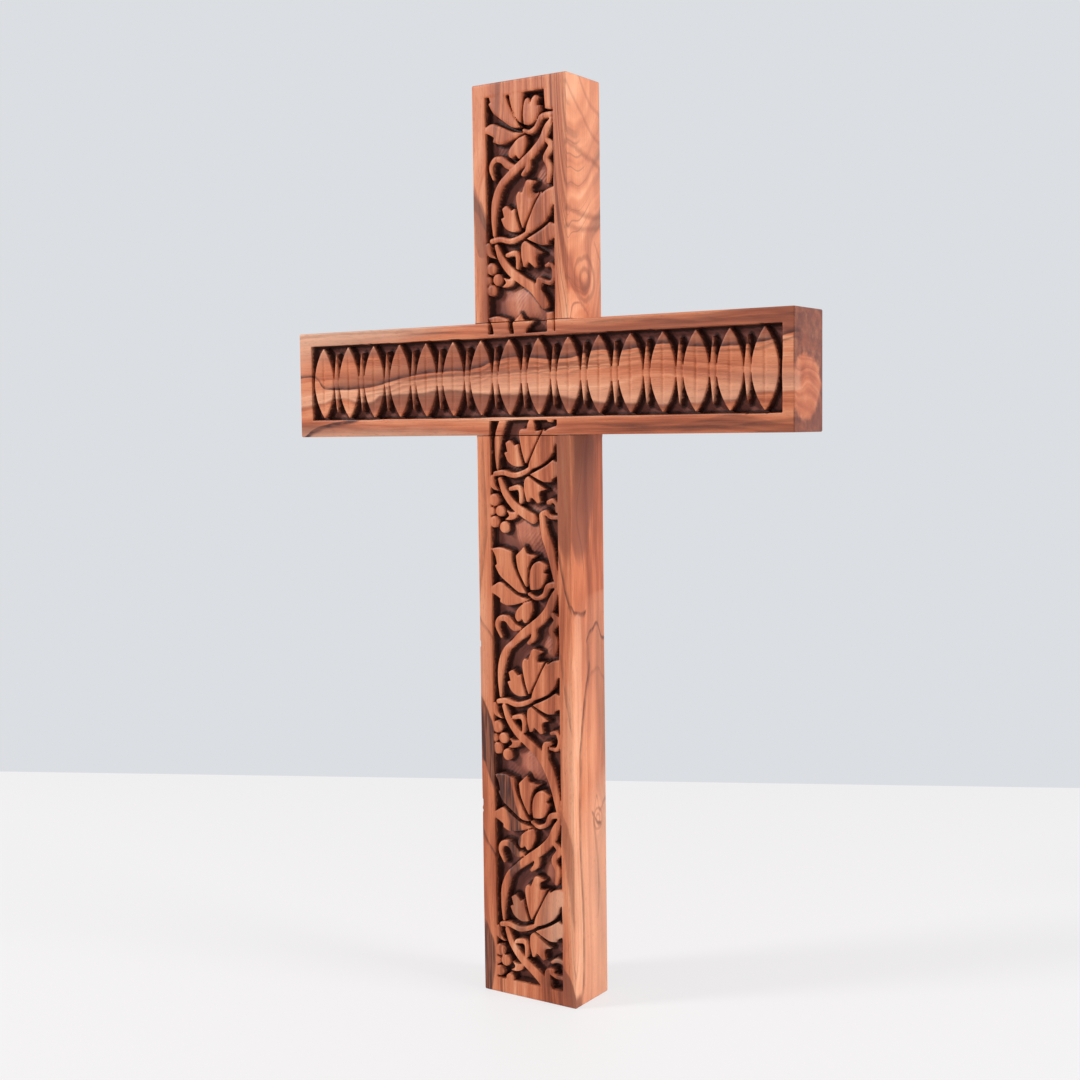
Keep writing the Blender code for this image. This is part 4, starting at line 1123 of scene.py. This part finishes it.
def band_shapes():
    """The crossbar's upright leaves, evenly spaced, with a dart between each two."""
    leaf = oval_outline(BAND_LEAF_WIDTH, LEAF_HEIGHT)
    dart = dart_outline(BAND_DART_WIDTH, DART_HEIGHT)
    shapes = []
    for number in range(BAND_LEAVES):
        place = np.array([BAND_LEFT + (number + 0.5) * LEAF_PITCH, BAND_MIDDLE])
        shapes.append(as_shape(lobe_distance, leaf + place, rim=0.5, drop=0.2, spread=0))
        if number:
            gap = np.array([BAND_LEFT + number * LEAF_PITCH, BAND_MIDDLE])
            shapes.append(as_shape(lobe_distance, dart + gap, rim=0.9, drop=0.4, spread=0))
    return shapes


def band_ground(x, z):
    """Depth of the band's ground: level, with the marks of a flat gouge."""
    furrows = np.sin(math.tau * (x * 0.55 + z * 0.83) / 1.3 + 1.8 * uneven(x, z, 12.0, 31))
    return GROUND + 0.05 * furrows + 0.12 * uneven(x, z, 7.0, 32)


def band_wear(x, z):
    """Tops of the leaves: a shallow groove up the middle of each, fading towards its points."""
    to_middle = (x - BAND_LEFT) % LEAF_PITCH - LEAF_PITCH / 2
    length = np.clip(1 - (np.abs(z - BAND_MIDDLE) / (0.44 * LEAF_HEIGHT)) ** 4, 0, 1)
    return 0.04 + 0.04 * uneven(x, z, 8.0, 33) + 0.34 * length * np.exp(-((to_middle / 0.42) ** 2))


# Chips out of the crossbar's front arrises, 3 below and 0 above: corner, place, half length, extra radius.
CROSSBAR_CHIPS = [(0, -62.0, 0.7, 0.4), (3, 41.0, 0.8, 0.45), (3, 84.0, 0.6, 0.4)]


# How far the vine's panel runs past the crossbar's edges.
NOTCH_OVERRUN = 3


def crossbar_board():
    """The crossbar's surface: the board's grid laid along X, its front carved, its back housed."""
    half = (CROSSBAR_HIGH[2] - CROSSBAR_LOW[2]) / 2
    middle = (CROSSBAR_HIGH[2] + CROSSBAR_LOW[2]) / 2
    front_columns = stations([-(half - ARRIS), half - ARRIS], [GRID + 0.02])
    shoulder = BEAM_HALF_WIDTH + GLUE_GAP
    along = np.concatenate([
        stations([CROSSBAR_LOW[0] + ARRIS, -shoulder], [GRID]),
        stations([-shoulder + HAIR, shoulder - HAIR], [GRID]),
        stations([shoulder, CROSSBAR_HIGH[0] - ARRIS], [GRID]),
    ])
    across, y, x = beam_grid(
        front_columns, half, CROSSBAR_LOW[0], CROSSBAR_HIGH[0], along,
        lambda places: flush_between(
            worn(places, 61, CROSSBAR_CHIPS), places, -BEAM_HALF_WIDTH, BEAM_HALF_WIDTH,
        ),
    )
    z = across + middle
    front_half = y < (FRONT + BACK) / 2
    columns = len(front_columns)
    front = np.r_[0:columns, columns:columns + CORNER_POINTS, -CORNER_POINTS:0]
    crossing = [
        shape for shape in VINE if shape["high"][1] > CROSSBAR_LOW[2] and shape["low"][1] < CROSSBAR_HIGH[2]
    ]
    below, above = CROSSBAR_LOW[2] - NOTCH_OVERRUN, CROSSBAR_HIGH[2] + NOTCH_OVERRUN
    low_notch = ((-PANEL_HALF_WIDTH, below), (PANEL_HALF_WIDTH, BAND_BOTTOM - RIDGE))
    high_notch = ((-PANEL_HALF_WIDTH, BAND_TOP + RIDGE), (PANEL_HALF_WIDTH, above))
    band_panel = ((BAND_LEFT, BAND_BOTTOM), (BAND_RIGHT, BAND_TOP))
    front_x, front_z = x[:, front], z[:, front]
    in_band = (front_z > BAND_BOTTOM - RIDGE / 2) & (front_z < BAND_TOP + RIDGE / 2)
    band = carve(front_x, front_z, [band_panel], band_shapes(), band_ground, band_wear)
    notches = carve(front_x, front_z, [low_notch, high_notch], crossing, vine_ground, vine_wear)
    moved_x, moved_z, depth, edge = (np.where(in_band, one, other) for one, other in zip(band, notches))
    inner = (BODY, slice(1, columns - 1))
    at_shoulder = (np.abs(np.abs(x) - shoulder) < GRID)[inner]
    x[inner] = np.where(at_shoulder, x[inner], moved_x[inner])
    z[inner] = moved_z[inner]
    hollow, wall_shade_share = sink(y, front, depth, edge)
    housed = (np.abs(x) < shoulder - HAIR / 2) & ~front_half
    y = np.where(housed, np.minimum(y, FRONT + HOUSING - GLUE_GAP), y)
    return board_mesh("carved_crossbar", x, y, z, hollow, wall_shade_share)


def end_rings(strength):
    """The dark rings of the right end's grain, round a paler oval."""
    def mask(wood, wander):
        reach = wood.oval(("across", "deep"), (200.3, -2.0), (9.0, 9.5), wander)
        outside = wood.ease(reach, 0.92, 1.20, 0.3, 1.0)
        uneven_share = wood.ease(wander, 0.3, 0.7, 0.7 * strength, strength)
        at_end = [("along", CROSSBAR_HIGH[0] - 0.8, CROSSBAR_HIGH[0] - 0.1, (0.0, 1.0))]
        return wood.within(at_end, wood.calc("MULTIPLY", outside, uneven_share))
    return mask


# The line on the crossbar above which the wood is dark, and the one below which it darkens again.
MAIN_LINE = [
    (-97, 206.7), (-90.5, 208.0), (-84, 203.6), (-78, 203.2), (-64, 203.9), (-47, 206.8), (-36, 208.1),
    (-21, 208.4), (-9, 211.3), (0, 211.9), (15.5, 210.8), (28, 213.0), (38, 212.8), (54, 214.2),
    (63, 213.0), (80, 213.0), (91, 215.0), (97, 216.4),
]
LOWER_LINE = [
    (-97, 196.5), (-84, 198.5), (-76, 199.9), (-66, 198.0), (-58, 200.2), (-40, 200.8), (-30, 201.5),
    (-18, 200.0), (0, 199.3), (8, 199.0), (20, 197.6), (34, 196.1), (48, 195.3), (60, 195.6), (75, 196.6),
    (84, 198.4), (91, 198.8), (97, 198.6),
]


def along_line(line, below, widths):
    """Points of a streak that follows a line at a distance below it. Widths are (place, width) pairs."""
    places = [place for place, _ in line]
    width = np.interp(places, *zip(*widths))
    return [(place, height - below, share) for (place, height), share in zip(line, width)]


carved_crossbar = crossbar_board()

# As on the upright, with places along the bar and heights on it.
crossbar_wood = OliveWood("crossbar_olive_wood", "X", "Z").finish(
    pith=(262.0, 30.0),
    eyes=[
        ((198.0, -10.0, -78.0), (7.0, 8.0, 15.0), 5.0),
        ((206.0, -10.0, 52.0), (6.0, 8.0, 18.0), 4.0),
        ((201.0, 2.0, 97.0), (10.0, 8.0, 6.0), 5.0),
    ],
    heart_gate=0.50,
    streaks=[
        front_streak(1.0, along_line(MAIN_LINE, 0.0, [(-97, 0.9), (-50, 1.4), (0, 1.4), (97, 1.2)]),
                     1, 0.3, 1.4),
        front_streak(0.5, along_line(MAIN_LINE, 1.5, [(-70, 0.0), (-60, 0.8), (20, 0.8), (97, 0.7)]),
                     -1, 0.35, 1.6),
        front_streak(0.36, along_line(MAIN_LINE, 3.0, [(-80, 0.0), (-60, 0.8), (20, 0.8), (97, 0)]),
                     -1, 0.35, 1.8),
        front_streak(0.25, along_line(MAIN_LINE, 4.8, [(-60, 0.0), (-40, 0.8), (30, 0.8), (80, 0)]),
                     -1, 0.35, 2.2),
        front_streak(0.36, along_line(LOWER_LINE, 0.0, [(-97, 0.9), (84, 1.1), (91, 0)]), -1, 0.8, 1.6),
        front_streak(1.0, [(-97, 185.4, 1.6), (-93, 187.2, 1.8), (-89.5, 189.4, 1.8), (-82, 191.3, 1.6),
                           (-72, 192.6, 1.4), (-64, 194, 0)], -1, 0.4, 0.8, (0.4, 1.3)),
        front_streak(0.45, [(24, 221.5, 0), (40, 222, 1.2), (60, 220.8, 1.2), (97, 221.2, 1.1)], -1),
        front_streak(0.45, [(26, 190.2, 0), (45, 189, 1.1), (70, 188.6, 1.2), (85, 190, 1.4),
                            (97, 191, 1.2)], -1),
        front_streak(0.3, [(-97, 221.5, 1.0), (-70, 222.4, 1.1), (-40, 221, 1.1), (-22, 220.4, 0)]),
    ],
    hearts=[
        front_streak(0.42, [(50, 188.0, 0), (64, 190.0, 2.6), (76, 191.8, 4.0), (84, 190.6, 4.0),
                           (91, 189.2, 3.4), (97, 188.8, 3.0)], -1, 0.7, 1.4, SOLID),
        end_rings(0.45),
    ],
    shades=[
        end_rings(1.0),
        front_streak(0.70, along_line(MAIN_LINE, 0.0, [(-84, 0), (-78, 6), (-50, 8), (-9, 9), (97, 9)]),
                     1, 0.5, 1.4),
        front_streak(0.76, along_line(LOWER_LINE, 0.0, [(-76, 0), (-66, 4), (-18, 7), (20, 4), (91, 0)]),
                     -1, 1.2, 1.6, (0.5, 1.3)),
        front_streak(0.25, [(-97, 187.6, 4.0), (-88, 189.0, 3.4), (-76, 190.4, 2.4), (-62, 190, 0)],
                     -1, 1.0, 2.0),
    ],
    pale_zones=[
        front_streak(0.85, [(-97, 226, 16.0), (-80, 226, 11.0), (-50, 225.5, 7.0), (-14, 224, 0)],
                     -1, 1.0, 2.4),
        front_streak(0.45, along_line(LOWER_LINE, -0.6, [(-97, 5.0), (-40, 4.0), (0, 7.0), (97, 7.0)]),
                     1, 1.0, 2.4),
        front_streak(0.7, [(-97, 184.5, 5.0), (-60, 184.5, 5.0), (-30, 184.5, 4.0), (-10, 184.5, 0)],
                     1, 1.0, 2.0),
    ],
)
carved_crossbar.data.materials.append(crossbar_wood)
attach(carved_crossbar, "root")
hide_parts("crossbar")

# Glue line
# The glue of the joint, dried brown in its narrow gaps. It lies just below the faces and behind the
# ground of the carving, and shows as a fine dark line round the crossing.

GLUE_THICKNESS = 0.26
GLUE_RECESS = 0.08
GLUE_BACK = -GLUE_GAP - 0.02


def glue_films():
    """The glue on the four shoulders of the joint. Each film is an outline seen from above, carried from
    one height to another: a U round the carving on the level shoulders, and a strip on the upright ones."""
    side, border = BEAM_HALF_WIDTH - GLUE_RECESS, PANEL_HALF_WIDTH + 0.5
    face, ground = FRONT + GLUE_RECESS, FRONT + GROUND + 0.6
    level = np.array([
        (-side, GLUE_BACK), (-side, face), (-border, face), (-border, ground),
        (border, ground), (border, face), (side, face), (side, GLUE_BACK),
    ])
    play = (GLUE_GAP - GLUE_THICKNESS) / 2
    near, far = BEAM_HALF_WIDTH + play, BEAM_HALF_WIDTH + GLUE_GAP - play
    upright_strip = np.array([(near, 0.1), (far, 0.1), (far, BACK - GLUE_RECESS), (near, BACK - GLUE_RECESS)])
    low, high = CROSSBAR_LOW[2], CROSSBAR_HIGH[2]
    films = [
        (level, low - GLUE_GAP + play, low - play),
        (level, high + play, high + GLUE_GAP - play),
        (upright_strip, low + 0.2, high - 0.2),
        ((upright_strip * (-1, 1))[::-1], low + 0.2, high - 0.2),
    ]
    points, faces, used = [], [], 0
    for outline, bottom, top in films:
        count = len(outline)
        points += [np.column_stack([outline, np.full(count, height)]) for height in (bottom, top)]
        faces += prism_faces(count, used)
        used += 2 * count
    mesh = bpy.data.meshes.new("glue_line")
    mesh.from_pydata(np.vstack(points) / METRE, [], faces)
    return add_object("glue_line", mesh)


def dried_glue():
    """Brown glue, darker where dust has settled in it."""
    material = bpy.data.materials.new("dried_glue")
    material.use_nodes = True
    tree = material.node_tree
    position = add_node(tree, "TexCoord", {}).outputs["Object"]
    dust = add_node(tree, "TexNoise", {"Vector": position, "Scale": 600.0}).outputs[0]
    browns = {0: dust, 6: seen_as(88, 48, 34), 7: seen_as(126, 74, 52)}
    tint = add_node(tree, "Mix", browns, data_type="RGBA").outputs[2]
    shader = tree.nodes["Principled BSDF"]
    tree.links.new(tint, shader.inputs["Base Color"])
    shader.inputs["Roughness"].default_value = 0.6
    return material


glue_line = glue_films()
glue_line.data.materials.append(dried_glue())
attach(glue_line, "root")

# Studio
# A pale table top whose far edge shows behind the cross, soft light from the left and the right, and a
# camera to the right of the front, a little below the crossbar.


def area_light(name, place, target, size, power, colour):
    """A round soft lamp at a place, turned towards a target."""
    light = bpy.data.lights.new(name, "AREA")
    light.shape = "DISK"
    light.size = size
    light.energy = power
    light.color = colour
    lamp = add_object(name, light)
    lamp.location = place
    lamp.rotation_euler = (Vector(target) - Vector(place)).to_track_quat("-Z", "Y").to_euler()


area_light("key", (-0.75, -0.75, 0.75), (0.0, 0.0, 0.16), 0.25, 9.0, (1.0, 0.97, 0.94))
area_light("side", (1.1, 0.10, 0.50), (0.0, 0.0, 0.14), 0.5, 9.5, (1.0, 0.98, 0.95))


def table_top():
    """A pale table whose far edge passes behind the cross, almost square to the view."""
    mesh = bpy.data.meshes.new("table")
    mesh.from_pydata([(-3, -3, 0), (3, -3, 0), (3, 0.312, 0), (-3, 0.312, 0)], [], [(0, 1, 2, 3)])
    table = add_object("table", mesh)
    table.rotation_euler = (0, 0, math.radians(26.6))
    pale = bpy.data.materials.new("pale_table")
    pale.use_nodes = True
    tree = pale.node_tree
    shader = tree.nodes["Principled BSDF"]
    shader.inputs["Base Color"].default_value = (0.86, 0.86, 0.87, 1)
    shader.inputs["Roughness"].default_value = 0.5
    glow = add_node(tree, "Emission", {"Color": (0.94, 0.93, 0.94, 1)}).outputs[0]
    seen = add_node(tree, "LightPath", {}).outputs["Is Camera Ray"]
    share = add_node(tree, "Math", {0: seen, 1: 0.7}, operation="MULTIPLY").outputs[0]
    mixed = add_node(tree, "MixShader", {0: share, 1: shader.outputs[0], 2: glow}).outputs[0]
    tree.links.new(mixed, tree.nodes["Material Output"].inputs["Surface"])
    mesh.materials.append(pale)


def pale_room():
    """The world: soft light on the cross, and a pale backdrop where the camera or a reflection sees it."""
    world = bpy.data.worlds.new("studio")
    bpy.context.scene.world = world
    world.use_nodes = True
    tree = world.node_tree
    fill = tree.nodes["Background"]
    fill.inputs["Color"].default_value = (1.0, 0.98, 0.97, 1)
    fill.inputs["Strength"].default_value = 0.38
    backdrop = add_node(tree, "Background", {"Color": (0.71, 0.73, 0.76, 1)}).outputs[0]
    rays = add_node(tree, "LightPath", {}).outputs
    seen = rays["Is Camera Ray"]
    for kind in ("Is Glossy Ray", "Is Transmission Ray"):
        seen = add_node(tree, "Math", {0: seen, 1: rays[kind]}, operation="MAXIMUM").outputs[0]
    choice = add_node(tree, "MixShader", {0: seen, 1: fill.outputs[0], 2: backdrop}).outputs[0]
    tree.links.new(choice, tree.nodes["World Output"].inputs["Surface"])


table_top()
pale_room()

camera_data = bpy.data.cameras.new("camera")
camera_data.sensor_width = 36.0
camera_data.lens = 51.75
camera = add_object("camera", camera_data)
heading = Matrix.Rotation(math.radians(33.606), 4, "Z")
tilt = Matrix.Rotation(math.radians(90.0 - 4.073), 4, "X")
roll = Matrix.Rotation(math.radians(-0.705), 4, "Z")
camera.matrix_world = Matrix.Translation((0.2830, -0.4263, 0.1885)) @ heading @ tilt @ roll
bpy.context.scene.camera = camera
bpy.context.scene.view_settings.view_transform = "Standard"
